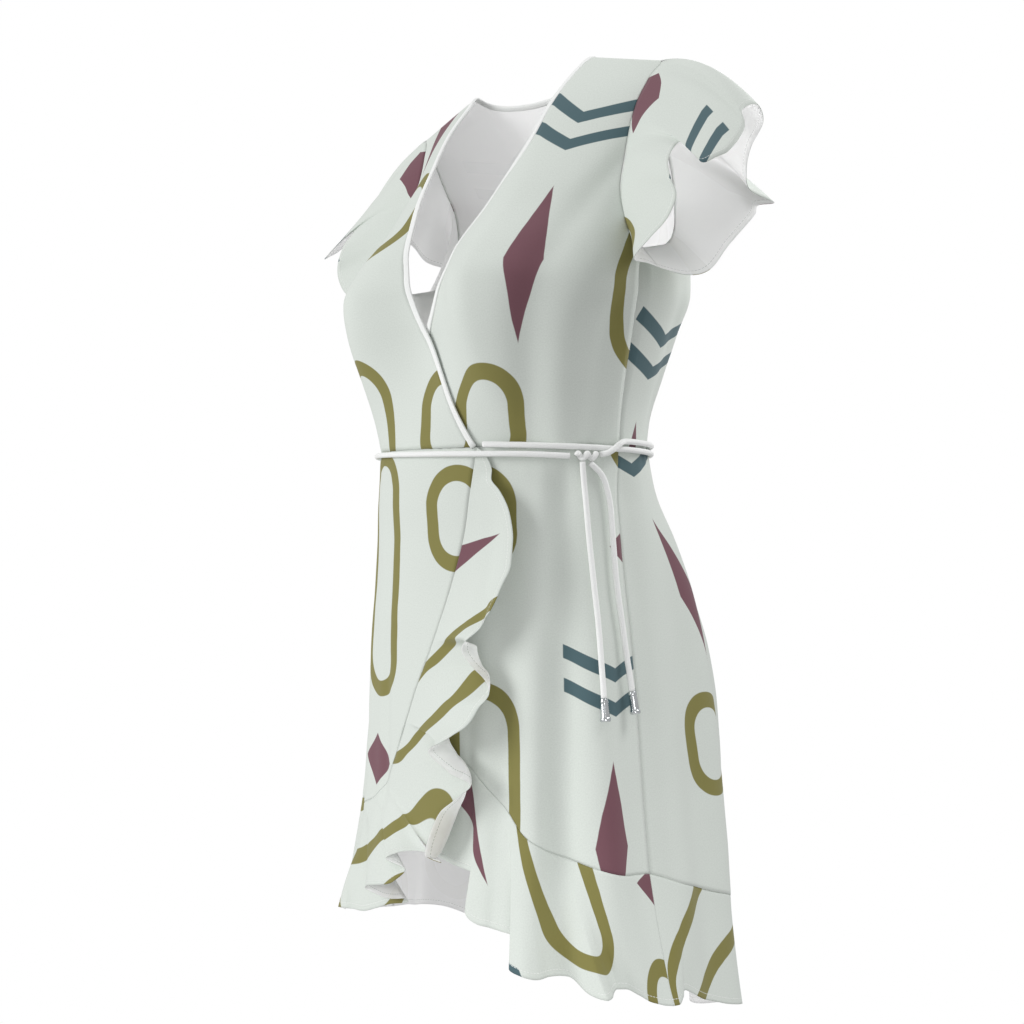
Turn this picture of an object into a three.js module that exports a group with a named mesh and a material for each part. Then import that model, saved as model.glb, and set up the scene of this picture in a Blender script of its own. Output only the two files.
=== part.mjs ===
// Tea dress: a short wrap dress with flutter sleeves, a bound V neck and a flounced wrap skirt.
// It is filled out as it hangs on a wearer, and hollow. Millimetres, +Z up, +X to the wearer's left,
// front towards -Y, origin between the shoulders at the height of the side neck points.
import * as THREE from "three";

const WALL = 1.2; // cloth, faced where it shows
const SEAM = 0.3; // clearance that every seam keeps between its two panels
const LAP = 4; // how far the left front lies behind the right front
const NECK_SIDE = 87; // side neck point, from the centre
const SHOULDER_SLOPE = 0.28; // fall of the shoulder for each mm outward
const BACK_NECK_DROP = 16; // depth of the back neck below the side neck points
const BUST = 98; // bust point, from the centre
const UNDERARM = -200;
const WAIST = -380;
const BINDING = { width: 6, thickness: 2.2 };
const CORD = 5.4; // diameter of the tie cord
const CORD_SIDES = 8;
const LATHE_SIDES = 12;
const CORD_CLEAR = 0.5; // between the cord and the cloth it lies on

const PALE = "#d7ddd8"; // ground of the printed cloth
const WHITE = "#f1f3f1"; // binding and cord
const SILVER = "#c9ccce"; // metal tips

// ---------------------------------------------------------------- tables and interpolation

function table(names, rows) {
  const asObject = (row) => Object.fromEntries(names.map((name, i) => [name, row[i]]));
  return { first: names[0], rows: rows.map(asObject).sort((a, b) => a[names[0]] - b[names[0]]) };
}

// Value of one column where the first column equals `at`: a cubic that never overshoots its rows.
function lookup({ first, rows }, name, at) {
  const last = rows.length - 1;
  if (at <= rows[0][first]) return rows[0][name];
  if (at >= rows[last][first]) return rows[last][name];
  let i = 0;
  while (rows[i + 1][first] < at) i++;
  const step = (k) => rows[k + 1][first] - rows[k][first];
  const slope = (k) => (rows[k + 1][name] - rows[k][name]) / step(k);
  const tangent = (k) => {
    if (k === 0) return slope(0);
    if (k === last) return slope(last - 1);
    const before = slope(k - 1);
    const after = slope(k);
    const mean = (before * step(k) + after * step(k - 1)) / (step(k - 1) + step(k));
    const least = Math.min(Math.abs(before), Math.abs(after), Math.abs(mean) / 2);
    return (Math.sign(before) + Math.sign(after)) * least;
  };
  const h = step(i);
  const t = (at - rows[i][first]) / h;
  return (
    rows[i][name] * (1 + 2 * t) * (1 - t) ** 2 +
    rows[i + 1][name] * t * t * (3 - 2 * t) +
    h * tangent(i) * t * (1 - t) ** 2 +
    h * tangent(i + 1) * t * t * (t - 1)
  );
}

const lerp = THREE.MathUtils.lerp;
const smoothstep = THREE.MathUtils.smoothstep;
const rad = THREE.MathUtils.degToRad;
const deg = THREE.MathUtils.radToDeg;

// ---------------------------------------------------------------- the form the cloth takes

// Bodice sections. half: half width. front, back: depths from mid. cleft: hollow between the busts.
// square: superellipse power. slope: share of the shoulder slope. level: height at the neck side.
const BODICE = table(
  ["level", "half", "front", "back", "mid", "cleft", "squareFront", "squareBack", "slope"],
  [
    [0, 180, 0, 0, 27, 0, 2, 2, 1],
    [-1, 180, 3.5, 4, 27, 0, 2, 2, 1],
    [-4, 180, 7.5, 9, 27, 0, 2, 2, 1],
    [-14, 180, 16.5, 19, 26, 0, 2, 2, 1],
    [-43, 176, 43, 48, 24, 2, 1.9, 2, 1],
    [-100, 171, 82, 92, 20, 16, 1.8, 2.4, 0.6],
    [-150, 172, 113, 118, 12, 34, 1.8, 2.6, 0.2],
    [-200, 178, 143, 132, 4, 42, 2.1, 2.8, 0],
    [-231, 178, 154, 136, 2, 42, 2.3, 2.8, 0],
    [-267, 172, 151, 128, 0, 42, 2.2, 2.6, 0],
    [-307, 163, 139, 120, 0, 30, 2.15, 2.4, 0],
    [-347, 155, 127, 115, 0, 12, 2.05, 2.1, 0],
    [-380, 152, 119, 113, 0, 0, 2, 2, 0],
  ],
);

// Skirt sections, plain half ellipses in front and behind. fold: depth of its soft folds.
const SKIRT = table(
  ["level", "half", "front", "back", "fold"],
  [
    [-380, 152, 119, 113, 0],
    [-427, 157, 119, 130, 0.5],
    [-467, 162, 117, 159, 1.5],
    [-507, 168, 117, 184, 2.5],
    [-547, 174, 118, 203, 3.5],
    [-587, 179, 118, 216, 4],
    [-667, 188, 118, 226, 5],
    [-707, 192, 118, 227, 5.5],
    [-747, 197, 122, 223, 6],
    [-787, 203, 131, 216, 6],
    [-827, 209, 142, 211, 6],
    [-867, 215, 151, 212, 6],
    [-907, 221, 157, 214, 6],
    [-970, 230, 164, 221, 6],
  ],
);

// Folds that fall from waist to hem: crest, trough, crest and so on, in degrees from the front
// centre to the wearer's left.
const FOLD_TURNS = [
  54, 65, 76, 87, 98, 112, 125, 137, 150, 163, 176, 189, 202, 215, 228, 243, 257.5, 275, 286, 300.5, 313,
  324, 332,
];

// Turns a position among crests and troughs into an angle: even multiples of pi at the crests.
function phase(turns, at) {
  const last = turns.length - 1;
  let i = 0;
  while (i < last - 1 && turns[i + 1] < at) i++;
  return Math.PI * (i + (at - turns[i]) / (turns[i + 1] - turns[i]));
}

function foldWave(angle) {
  const turn = ((deg(angle) % 360) + 360) % 360;
  const flat = smoothstep(turn, 34, 54) * (1 - smoothstep(turn, 296, 324));
  return flat * Math.cos(phase(FOLD_TURNS, turn));
}

// The skirt's ellipses are walked evenly by their own parameter; these turn it into the true angle
// and back.
function halvesAt(level, angle) {
  const depth = lookup(SKIRT, Math.cos(angle) >= 0 ? "front" : "back", level);
  return { half: lookup(SKIRT, "half", level), depth };
}

function trueAngle(level, even) {
  const { half, depth } = halvesAt(level, even);
  return Math.atan2(half * Math.sin(even), depth * Math.cos(even));
}

function evenAngle(level, angle) {
  const { half, depth } = halvesAt(level, angle);
  return Math.atan2(Math.sin(angle) / half, Math.cos(angle) / depth);
}

// Point of the bodice's outside. The angle runs from the front centre to the wearer's left.
function onBodice(level, angle) {
  const value = (name) => lookup(BODICE, name, level);
  const isFront = Math.cos(angle) >= 0;
  const power = 2 / value(isFront ? "squareFront" : "squareBack");
  const x = value("half") * Math.sign(Math.sin(angle)) * Math.abs(Math.sin(angle)) ** power;
  const depth = value(isFront ? "front" : "back") * Math.abs(Math.cos(angle)) ** power;
  const share = Math.min(1, Math.abs(x) / BUST);
  const hollow = isFront ? value("cleft") * (1 - share * share) ** 2 : 0;
  const fall = value("slope") * SHOULDER_SLOPE * Math.max(0, Math.abs(x) - NECK_SIDE);
  return new THREE.Vector3(x, value("mid") + (isFront ? hollow - depth : depth), level - fall);
}

// Point of the skirt's outside, by the true angle round the vertical axis.
function onSkirt(level, angle) {
  const value = (name) => lookup(SKIRT, name, level);
  const depth = value(Math.cos(angle) >= 0 ? "front" : "back");
  const across = Math.sin(angle) / value("half");
  const along = Math.cos(angle) / depth;
  const radius = 1 / Math.hypot(across, along) + value("fold") * foldWave(angle);
  return new THREE.Vector3(radius * Math.sin(angle), -radius * Math.cos(angle), level);
}

const SMALL_TURN = 1e-3; // radians, for the slopes of a surface
const SMALL_RISE = 0.4; // mm

// Outward unit normal of a surface(level, angle), and how far it runs for each radian.
function normalOn(surface, level, angle) {
  const byAngle = surface(level, angle + SMALL_TURN).sub(surface(level, angle - SMALL_TURN));
  const byLevel = surface(level + SMALL_RISE, angle).sub(surface(level - SMALL_RISE, angle));
  const normal = byAngle.cross(byLevel);
  if (Math.abs(level - WAIST) < 1) normal.z = 0; // both sides of the waist seam share it
  return normal.normalize();
}

function runPerRadian(surface, level, angle) {
  const run = surface(level, angle + SMALL_TURN).sub(surface(level, angle - SMALL_TURN));
  return run.divideScalar(2 * SMALL_TURN);
}

// The angle that a gap of so many mm takes at a side seam.
const sideTrim = (surface, level, gap) => gap / runPerRadian(surface, level, Math.PI / 2).length();

// Along the shoulder seam both panels share the normal that is square to the seam.
function bodiceNormal(level, angle) {
  if (level > -0.5) {
    const side = Math.sign(Math.sin(angle));
    return new THREE.Vector3(side * SHOULDER_SLOPE, 0, 1).normalize();
  }
  return normalOn(onBodice, level, angle);
}

// ---------------------------------------------------------------- cloth walls

// Closed wall on a grid of outside points with their normals: outer face, inner face and four edges.
// proud lifts the outer face off the points; the inner face lies `thick` behind it.
function wallGeometry(points, normals, thick = WALL, proud = 0) {
  const rows = points.length;
  const columns = points[0].length;
  const position = [];
  for (const depth of [proud, proud - thick]) {
    for (let i = 0; i < rows; i++) {
      for (let j = 0; j < columns; j++) {
        const point = points[i][j].clone().addScaledVector(normals[i][j], depth);
        position.push(point.x, point.y, point.z);
      }
    }
  }
  const inner = rows * columns;
  const index = [];
  const quad = (a, b, c, d) => index.push(a, b, c, a, c, d);
  for (let i = 0; i < rows - 1; i++) {
    for (let j = 0; j < columns - 1; j++) {
      const a = i * columns + j;
      const b = a + columns;
      quad(a, b, b + 1, a + 1);
      quad(inner + a, inner + a + 1, inner + b + 1, inner + b);
    }
  }
  const rim = [];
  for (let j = 0; j < columns - 1; j++) rim.push(j);
  for (let i = 0; i < rows - 1; i++) rim.push(i * columns + columns - 1);
  for (let j = columns - 1; j > 0; j--) rim.push((rows - 1) * columns + j);
  for (let i = rows - 1; i > 0; i--) rim.push(i * columns);
  rim.forEach((a, k) => {
    const b = rim[(k + 1) % rim.length];
    quad(a, b, inner + b, inner + a);
  });
  return facingOut(position, index);
}

// A tube-like wall whose rows close on themselves: outer face, inner face and two rims.
function ringWallGeometry(points, normals, thick = WALL) {
  const rows = points.length;
  const count = points[0].length;
  const position = [];
  for (const depth of [0, -thick]) {
    for (let i = 0; i < rows; i++) {
      for (let j = 0; j < count; j++) {
        const point = points[i][j].clone().addScaledVector(normals[i][j], depth);
        position.push(point.x, point.y, point.z);
      }
    }
  }
  const inner = rows * count;
  const index = [];
  const quad = (a, b, c, d) => index.push(a, b, c, a, c, d);
  for (let j = 0; j < count; j++) {
    const next = (j + 1) % count;
    for (let i = 0; i < rows - 1; i++) {
      const a = i * count;
      const b = a + count;
      quad(a + j, b + j, b + next, a + next);
      quad(inner + a + j, inner + a + next, inner + b + next, inner + b + j);
    }
    const end = (rows - 1) * count;
    quad(j, next, inner + next, inner + j);
    quad(end + next, end + j, inner + end + j, inner + end + next);
  }
  return facingOut(position, index);
}

// Turns every face round if the body came out inside out, and gives the geometry its normals.
function facingOut(position, index) {
  const corner = (i) => new THREE.Vector3().fromArray(position, 3 * index[i]);
  let volume = 0;
  for (let i = 0; i < index.length; i += 3) volume += corner(i).dot(corner(i + 1).cross(corner(i + 2)));
  const faces = volume < 0 ? index.slice().reverse() : index;
  const geometry = new THREE.BufferGeometry();
  geometry.setAttribute("position", new THREE.Float32BufferAttribute(position, 3));
  geometry.setIndex(faces);
  return geometry.toNonIndexed();
}

// Normals of a grid of points by its neighbours; `outward` is +1 or -1. `closed` rows wrap round.
function gridNormals(points, outward, closed = false) {
  return points.map((row, i) =>
    row.map((_, j) => {
      const count = row.length;
      const before = closed ? (j + count - 1) % count : Math.max(0, j - 1);
      const after = closed ? (j + 1) % count : Math.min(count - 1, j + 1);
      const along = row[after].clone().sub(row[before]);
      const above = points[Math.max(0, i - 1)][j];
      const below = points[Math.min(points.length - 1, i + 1)][j];
      return along.cross(below.clone().sub(above)).normalize().multiplyScalar(outward);
    }),
  );
}

const dress = new THREE.Group();

function add(name, geometry, color, roughness = 0.9, metalness = 0) {
  geometry.computeVertexNormals();
  const mesh = new THREE.Mesh(geometry, new THREE.MeshStandardMaterial({ color, roughness, metalness }));
  mesh.name = name;
  dress.add(mesh);
  return mesh;
}

// ---------------------------------------------------------------- bodice

// Finished edge of a front: how far it lies on its own side of the centre. It crosses the centre
// at the bottom of the V and ends at the waist on the other side.
const FRONT_EDGE = table(
  ["level", "x"],
  [
    [0, 87],
    [-14, 81],
    [-43, 78],
    [-99, 72],
    [-146, 59],
    [-183, 42],
    [-213, 25],
    [-262, 0],
    [-322, -42],
    [-380, -74],
  ],
);

// Armhole edge in degrees from the front centre (front) and from the back centre (back).
const ARMHOLE = table(
  ["level", "front", "back"],
  [
    [0, 90, 90],
    [-8, 78, 81],
    [-20, 72, 77.5],
    [-45, 70, 74],
    [-75, 71, 72],
    [-105, 73, 71],
    [-135, 74.5, 71],
    [-160, 77.5, 73],
    [-180, 81.5, 77],
    [-193, 86, 82.5],
    [UNDERARM, 90, 90],
  ],
);
const ARMHOLE_LEVELS = ARMHOLE.rows.map((row) => row.level).reverse();
const LOWER_LEVELS = [-218, -238, -260, -284, -308, -332, -356, WAIST + SEAM / 2];
const BODICE_LEVELS = [...ARMHOLE_LEVELS, ...LOWER_LEVELS];
const FRONT_COLUMNS = 11;

// Angle of a front's finished edge; side is +1 for the left front and -1 for the right front.
function edgeAngle(level, side) {
  const x = lookup(FRONT_EDGE, "x", level);
  const share = Math.abs(x) / lookup(BODICE, "half", level);
  return side * Math.sign(x) * Math.asin(share ** (lookup(BODICE, "squareFront", level) / 2));
}

// Angle of the line that lies `inside` mm behind a front's finished edge.
function insideEdge(level, side, inside) {
  const angle = edgeAngle(level, side);
  const upper = Math.min(0, level + 0.5);
  const lower = level - 0.5;
  const along = onBodice(upper, edgeAngle(upper, side)).sub(onBodice(lower, edgeAngle(lower, side)));
  const across = along.cross(bodiceNormal(level, angle)).normalize();
  const rate = Math.abs(runPerRadian(onBodice, level, angle).dot(across));
  return angle + (side * inside) / rate;
}

// The left front sinks behind the right front's edge, and is flush again this many degrees on.
const BODICE_LAP_ENDS = [9, 26];

function bodiceLap(level, angle) {
  const beyond = deg(angle - edgeAngle(level, -1));
  return LAP * (1 - smoothstep(beyond, ...BODICE_LAP_ENDS));
}

function bodiceFront(side) {
  const points = [];
  const normals = [];
  for (const level of BODICE_LEVELS) {
    const start = insideEdge(level, side, BINDING.width + SEAM);
    let end = (side * Math.PI) / 2;
    if (level >= UNDERARM) end = side * rad(lookup(ARMHOLE, "front", level));
    else end -= side * sideTrim(onBodice, level, SEAM / 2);
    const row = [];
    const rowNormals = [];
    for (let j = 0; j <= FRONT_COLUMNS; j++) {
      const angle = lerp(start, end, j / FRONT_COLUMNS);
      const normal = bodiceNormal(level, angle);
      const point = onBodice(level, angle);
      if (level === 0) point.y -= SEAM / 2;
      if (side > 0) point.addScaledVector(normal, -bodiceLap(level, angle));
      row.push(point);
      rowNormals.push(normal);
    }
    points.push(row);
    normals.push(rowNormals);
  }
  return wallGeometry(points, normals);
}

// Back neck: half an ellipse between the side neck points, `inside` mm behind its finished edge.
// Turn 0 is the left side neck point and pi the right one.
function backNeck(turn, inside) {
  const x = (NECK_SIDE + inside) * Math.cos(turn);
  const level = -(BACK_NECK_DROP + inside) * Math.sin(turn);
  return { level, angle: Math.PI - Math.asin(x / lookup(BODICE, "half", level)) };
}

const NECK_STEPS = 10;
const SHOULDER_STEPS = 6;
const BACK_DIP_FADE = 130; // the rows under the back neck are level again this far down

function bodiceBack() {
  const corner = Math.PI - backNeck(0, BINDING.width + SEAM).angle;
  const points = [];
  const normals = [];
  for (const level of BODICE_LEVELS) {
    let reach = Math.PI / 2;
    if (level >= UNDERARM) reach = rad(lookup(ARMHOLE, "back", level));
    else reach -= sideTrim(onBodice, level, SEAM / 2);
    const fade = Math.max(0, 1 + level / BACK_DIP_FADE) ** 2;
    const stations = [];
    for (let j = 0; j < SHOULDER_STEPS; j++) {
      stations.push({ level, angle: Math.PI - lerp(reach, corner, j / SHOULDER_STEPS) });
    }
    for (let j = 0; j <= NECK_STEPS; j++) {
      const neck = backNeck((Math.PI * j) / NECK_STEPS, BINDING.width + SEAM);
      stations.push({ level: level + neck.level * fade, angle: neck.angle });
    }
    for (let j = SHOULDER_STEPS - 1; j >= 0; j--) {
      stations.push({ level, angle: 2 * Math.PI - stations[j].angle });
    }
    const row = stations.map((at) => onBodice(at.level, at.angle));
    if (level === 0) stations.forEach((at, j) => (row[j].y += at.level > -0.01 ? SEAM / 2 : 0));
    points.push(row);
    normals.push(stations.map((at) => bodiceNormal(at.level, at.angle)));
  }
  return wallGeometry(points, normals);
}

// ---------------------------------------------------------------- neck binding

// One strip that closes the cut edge from the right front's waist corner, round the back neck, down
// to the left front's waist corner.
function neckBinding() {
  const points = [];
  const normals = [];
  const station = (outer, inner, side) => {
    const row = [];
    const rowNormals = [];
    for (const { level, angle } of [outer, inner]) {
      const normal = bodiceNormal(level, angle);
      const lap = side > 0 ? bodiceLap(level, angle) : 0;
      row.push(onBodice(level, angle).addScaledVector(normal, -lap));
      rowNormals.push(normal);
    }
    points.push(row);
    normals.push(rowNormals);
  };
  const onFront = (level, side) => {
    const outer = { level, angle: edgeAngle(level, side) };
    station(outer, { level, angle: insideEdge(level, side, BINDING.width) }, side);
  };
  for (const level of BODICE_LEVELS.slice().reverse()) onFront(level, -1);
  for (let j = NECK_STEPS - 1; j > 0; j--) {
    const turn = (Math.PI * j) / NECK_STEPS;
    station(backNeck(turn, 0), backNeck(turn, BINDING.width), 0);
  }
  for (const level of BODICE_LEVELS) onFront(level, 1);
  return wallGeometry(points, normals, BINDING.thickness, (BINDING.thickness - WALL) / 2);
}

// ---------------------------------------------------------------- sleeves

// Hem of the left sleeve, once round from the top of the back to the front, the underarm and the
// back. station: place round the armhole, 0 at the shoulder point, 1 at the underarm, 2 at the
// shoulder point again.
const SLEEVE_HEM = [
  [0, 282, 40, -86],
  [0.07, 284, 18, -96],
  [0.13, 292, 12, -113],
  [0.2, 297, -11, -136],
  [0.28, 294, -26, -145],
  [0.36, 286, -37, -149],
  [0.41, 270, -30, -135],
  [0.46, 250, -23, -123],
  [0.52, 249, -36, -139],
  [0.58, 255, -40, -156],
  [0.65, 260, -38, -173],
  [0.72, 250, -38, -190],
  [0.8, 229, -38, -204],
  [0.88, 205, -33, -218],
  [0.95, 202, -13, -219],
  [1.02, 206, 3, -223],
  [1.1, 215, 24, -227],
  [1.2, 223, 45, -221],
  [1.3, 231, 61, -199],
  [1.42, 241, 85, -170],
  [1.52, 237, 95, -159],
  [1.6, 241, 113, -154],
  [1.68, 244, 76, -148],
  [1.76, 251, 63, -132],
  [1.84, 263, 55, -117],
  [1.93, 276, 56, -96],
];
const SLEEVE_RISE = 28; // how far the top of the sleeve arches over its straight line
const SLEEVE_AROUND = 3; // hem steps for each step of the armhole
const SLEEVE_ROWS = 4;

function sleeve(side) {
  // Armhole stations, front down and back up, then finer steps along the straight lines between them.
  const coarse = [];
  for (const level of ARMHOLE_LEVELS) coarse.push(onBodice(level, rad(lookup(ARMHOLE, "front", level))));
  for (const level of ARMHOLE_LEVELS.slice(1, -1).reverse()) {
    coarse.push(onBodice(level, Math.PI - rad(lookup(ARMHOLE, "back", level))));
  }
  const half = ARMHOLE_LEVELS.length - 1;
  const hem = new THREE.CatmullRomCurve3(
    SLEEVE_HEM.map(([, x, y, z]) => new THREE.Vector3(x, y, z)),
    true,
    "centripetal",
  );
  const hemAt = (station) => {
    const stops = [...SLEEVE_HEM.map((row) => row[0]), 2];
    let i = 0;
    while (i < stops.length - 2 && stops[i + 1] <= station) i++;
    return hem.getPoint((i + (station - stops[i]) / (stops[i + 1] - stops[i])) / SLEEVE_HEM.length);
  };
  const points = Array.from({ length: SLEEVE_ROWS + 1 }, () => []);
  const count = coarse.length * SLEEVE_AROUND;
  for (let k = 0; k < count; k++) {
    const whole = Math.floor(k / SLEEVE_AROUND);
    const share = k / SLEEVE_AROUND - whole;
    const armhole = coarse[whole].clone().lerp(coarse[(whole + 1) % coarse.length], share);
    const station = (whole + share) / half;
    const end = hemAt(station);
    const middle = armhole.clone().lerp(end, 0.5);
    middle.z += (SLEEVE_RISE * (1 + Math.cos(Math.PI * station))) / 2;
    const start = armhole.clone().addScaledVector(middle.clone().sub(armhole).normalize(), SEAM);
    const spoke = new THREE.QuadraticBezierCurve3(start, middle, end);
    for (let i = 0; i <= SLEEVE_ROWS; i++) {
      const point = spoke.getPoint(i / SLEEVE_ROWS);
      point.x *= side;
      points[i].push(point);
    }
  }
  return ringWallGeometry(points, gridNormals(points, side, true));
}

// ---------------------------------------------------------------- skirt

// Seam between a skirt front and its flounce, from the waist corner down the free edge and round to
// the side seam. angle: degrees on the front's own side of the centre.
const SEAM_COLUMNS = ["run", "angle", "level"];
const RIGHT_SEAM = table(SEAM_COLUMNS, [
  [0, -35.4, -380],
  [0.1, -32.5, -418],
  [0.2, -29, -462],
  [0.3, -21.5, -512],
  [0.42, -10.3, -566],
  [0.52, 1, -608],
  [0.6, 9, -640],
  [0.7, 22, -686],
  [0.8, 38, -720],
  [0.88, 53, -736],
  [0.94, 69, -742],
  [1, 90, -745],
]);
const LEFT_SEAM = table(SEAM_COLUMNS, [
  [0, -35.4, -380],
  [0.12, -33, -425],
  [0.24, -28, -475],
  [0.34, -20, -525],
  [0.44, -9, -590],
  [0.52, 5, -636],
  [0.6, 21, -661],
  [0.66, 33, -677],
  [0.7, 39.5, -689],
  [0.75, 46, -704],
  [0.81, 53, -725],
  [0.87, 61.5, -740],
  [0.93, 71.8, -751],
  [0.98, 83.9, -761],
  [1, 90, -763],
]);
// Level of the seam between the skirt back and its flounce.
const BACK_SEAM = table(
  ["angle", "level"],
  [
    [90, -763],
    [120, -800],
    [150, -838],
    [180, -850],
    [210, -838],
    [240, -792],
    [270, -745],
  ],
);
const CORNER_RUN = 0.8; // where the free edge of a skirt front turns into its lower edge
const SKIRT_ROWS = 10;
const SKIRT_COLUMNS = 14;
const BACK_COLUMNS = 20;

// Where the left skirt front comes out from under the right one and its flounce, in degrees.
const SKIRT_CLEAR = table(
  ["level", "angle"],
  [
    [-380, 46],
    [-430, 53],
    [-480, 55],
    [-560, 50],
    [-620, 46],
    [-700, 42],
    [-740, 36],
    [-770, 24],
    [-810, 5],
    [-860, -20],
  ],
);

const SKIRT_LAP_FADE = 24; // degrees over which the left front comes flush

function skirtLap(level, angle) {
  const clear = lookup(SKIRT_CLEAR, "angle", level);
  return LAP * (1 - smoothstep(deg(angle), clear, clear + SKIRT_LAP_FADE));
}

const onLeftSkirt = (level, angle) =>
  onSkirt(level, angle).addScaledVector(normalOn(onSkirt, level, angle), -skirtLap(level, angle));

function seamAt(seam, run) {
  return { angle: rad(lookup(seam, "angle", run)), level: lookup(seam, "level", run) };
}

// A skirt front fills the patch between waist, side seam and the two stretches of its flounce seam.
function skirtFront(side, seam) {
  const surface = side > 0 ? onLeftSkirt : onSkirt;
  const sideAngle = Math.PI / 2 - sideTrim(onSkirt, WAIST, SEAM / 2);
  const top = WAIST - SEAM / 2;
  const at = (run) => {
    const { angle, level } = seamAt(seam, run);
    return new THREE.Vector2(evenAngle(level, Math.min(angle, sideAngle)), Math.min(level, top));
  };
  const waistFree = at(0);
  const waistSide = new THREE.Vector2(sideAngle, top);
  const lowFree = at(CORNER_RUN);
  const lowSide = at(1);
  const points = [];
  const normals = [];
  for (let i = 0; i <= SKIRT_ROWS; i++) {
    const v = i / SKIRT_ROWS;
    const free = at(CORNER_RUN * v);
    const seamed = waistSide.clone().lerp(lowSide, v);
    const row = [];
    const rowNormals = [];
    for (let j = 0; j <= SKIRT_COLUMNS; j++) {
      const u = j / SKIRT_COLUMNS;
      const high = waistFree.clone().lerp(waistSide, u);
      const low = at(lerp(CORNER_RUN, 1, u));
      const across = free.clone().lerp(seamed, u);
      const along = high.clone().lerp(low, v);
      const corners = high.lerp(lowFree.clone().lerp(lowSide, u), v);
      const { x: even, y: level } = across.add(along).sub(corners);
      const angle = side * trueAngle(level, even);
      row.push(surface(level, angle));
      rowNormals.push(normalOn(onSkirt, level, angle));
    }
    points.push(row);
    normals.push(rowNormals);
  }
  return { geometry: wallGeometry(points, normals), points };
}

function skirtBack() {
  const points = [];
  const normals = [];
  const trim = sideTrim(onSkirt, WAIST, SEAM / 2);
  for (let i = 0; i <= SKIRT_ROWS; i++) {
    const row = [];
    const rowNormals = [];
    for (let j = 0; j <= BACK_COLUMNS; j++) {
      const angle = lerp(Math.PI / 2 + trim, 1.5 * Math.PI - trim, j / BACK_COLUMNS);
      const level = lerp(WAIST - SEAM / 2, lookup(BACK_SEAM, "level", deg(angle)), i / SKIRT_ROWS);
      row.push(onSkirt(level, angle));
      rowNormals.push(normalOn(onSkirt, level, angle));
    }
    points.push(row);
    normals.push(rowNormals);
  }
  return { geometry: wallGeometry(points, normals), points };
}

// ---------------------------------------------------------------- flounces

const FLOUNCE_ROWS = 5;
const CASCADE_PARTS = 8; // flounce columns for each row of a skirt front's free edge
const PLAIN_ROWS = 7; // rows of the left front's free edge that the right front hides, one column each
const HEM_PARTS = 3; // flounce columns for each column of a skirt front's lower edge
const BACK_PARTS = 3; // flounce columns for each column of the skirt back
const MID_STAND = 0.15; // how far a flounce stands off half way down, as a share of its hem
const MID_STAND_MOST = 4;

// Hem of each front flounce, by the run of its seam: a row wherever a fold turns. angle and level as
// for the seam. stand: how far the hem stands off the skirt. bow, drop: degrees and mm that the cloth
// swings aside between seam and hem, where it rolls over and shows its inside.
const HEM_COLUMNS = ["run", "angle", "level", "stand", "bow", "drop"];
const RIGHT_HEM = table(HEM_COLUMNS, [
  [0, -38.8, -385, 0, 0, 0],
  [0.05, -41.8, -399, 0, 0, 0],
  [0.09, -42.4, -409, 4, 0, 0],
  [0.13, -46.7, -421, 9, 0, 0],
  [0.18, -51.1, -441, 15, 0, 0],
  [0.22, -52.8, -465, 20, 0, 0],
  [0.26, -52.9, -486, 24, 0, 0],
  [0.31, -51.6, -505, 28, 0, 0],
  [0.36, -49.3, -529, 32, 0, 0],
  [0.405, -40.2, -548, 32, 0, 0],
  [0.43, -35.3, -564, 22, -26.2, 11],
  [0.455, -38.1, -578, 18, -25.9, 7],
  [0.485, -45, -600, 18, -19.9, 29],
  [0.52, -41.5, -612, 26, 0, 0],
  [0.56, -37.7, -632, 32, 0, 0],
  [0.595, -30.3, -645, 34, 0, 0],
  [0.622, -20.7, -658, 24, -37.7, 17],
  [0.645, -29.1, -674, 20, -33.3, 25],
  [0.672, -38.1, -684, 20, -29.1, 30],
  [0.69, -32.1, -699, 22, -42.9, 7],
  [0.705, -26.7, -711, 24, -48.7, -1],
  [0.72, -22.6, -732, 24, -47.6, -18],
  [0.735, -19.7, -755, 22, -39.8, -36],
  [0.75, -25.4, -760, 15, 0, 0],
  [0.765, -12.8, -755, 8, 0, 0],
  [0.782, -1.9, -759, 14, 0, 0],
  [0.797, 5.8, -769, 18, 0, 0],
  [0.815, -3.8, -775, 10, 0, 0],
  [0.832, -0.2, -788, 16, 0, 0],
  [0.85, 21.5, -802, 9, 0, 0],
  [0.858, 26.2, -807, 2, 0, 0],
  [0.866, 16.3, -808, -6, 0, 0],
  [0.875, 5.4, -803, -12, 0, 0],
  [0.882, 5.1, -805, -17, 0, 0],
  [0.89, 18.8, -814, -19, 0, 0],
  [0.9, 29.2, -825, -17, 0, 0],
  [0.912, 36.8, -834, -11, 0, 0],
  [0.924, 41, -836, -4, 0, 0],
  [0.936, 43.5, -838, 2, 0, 0],
  [0.95, 49, -842, 3, 0, 0],
  [0.97, 66, -860, 1, 0, 0],
  [0.985, 78, -869, -4, 0, 0],
  [1, 90, -877, -6, 0, 0],
]);
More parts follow.
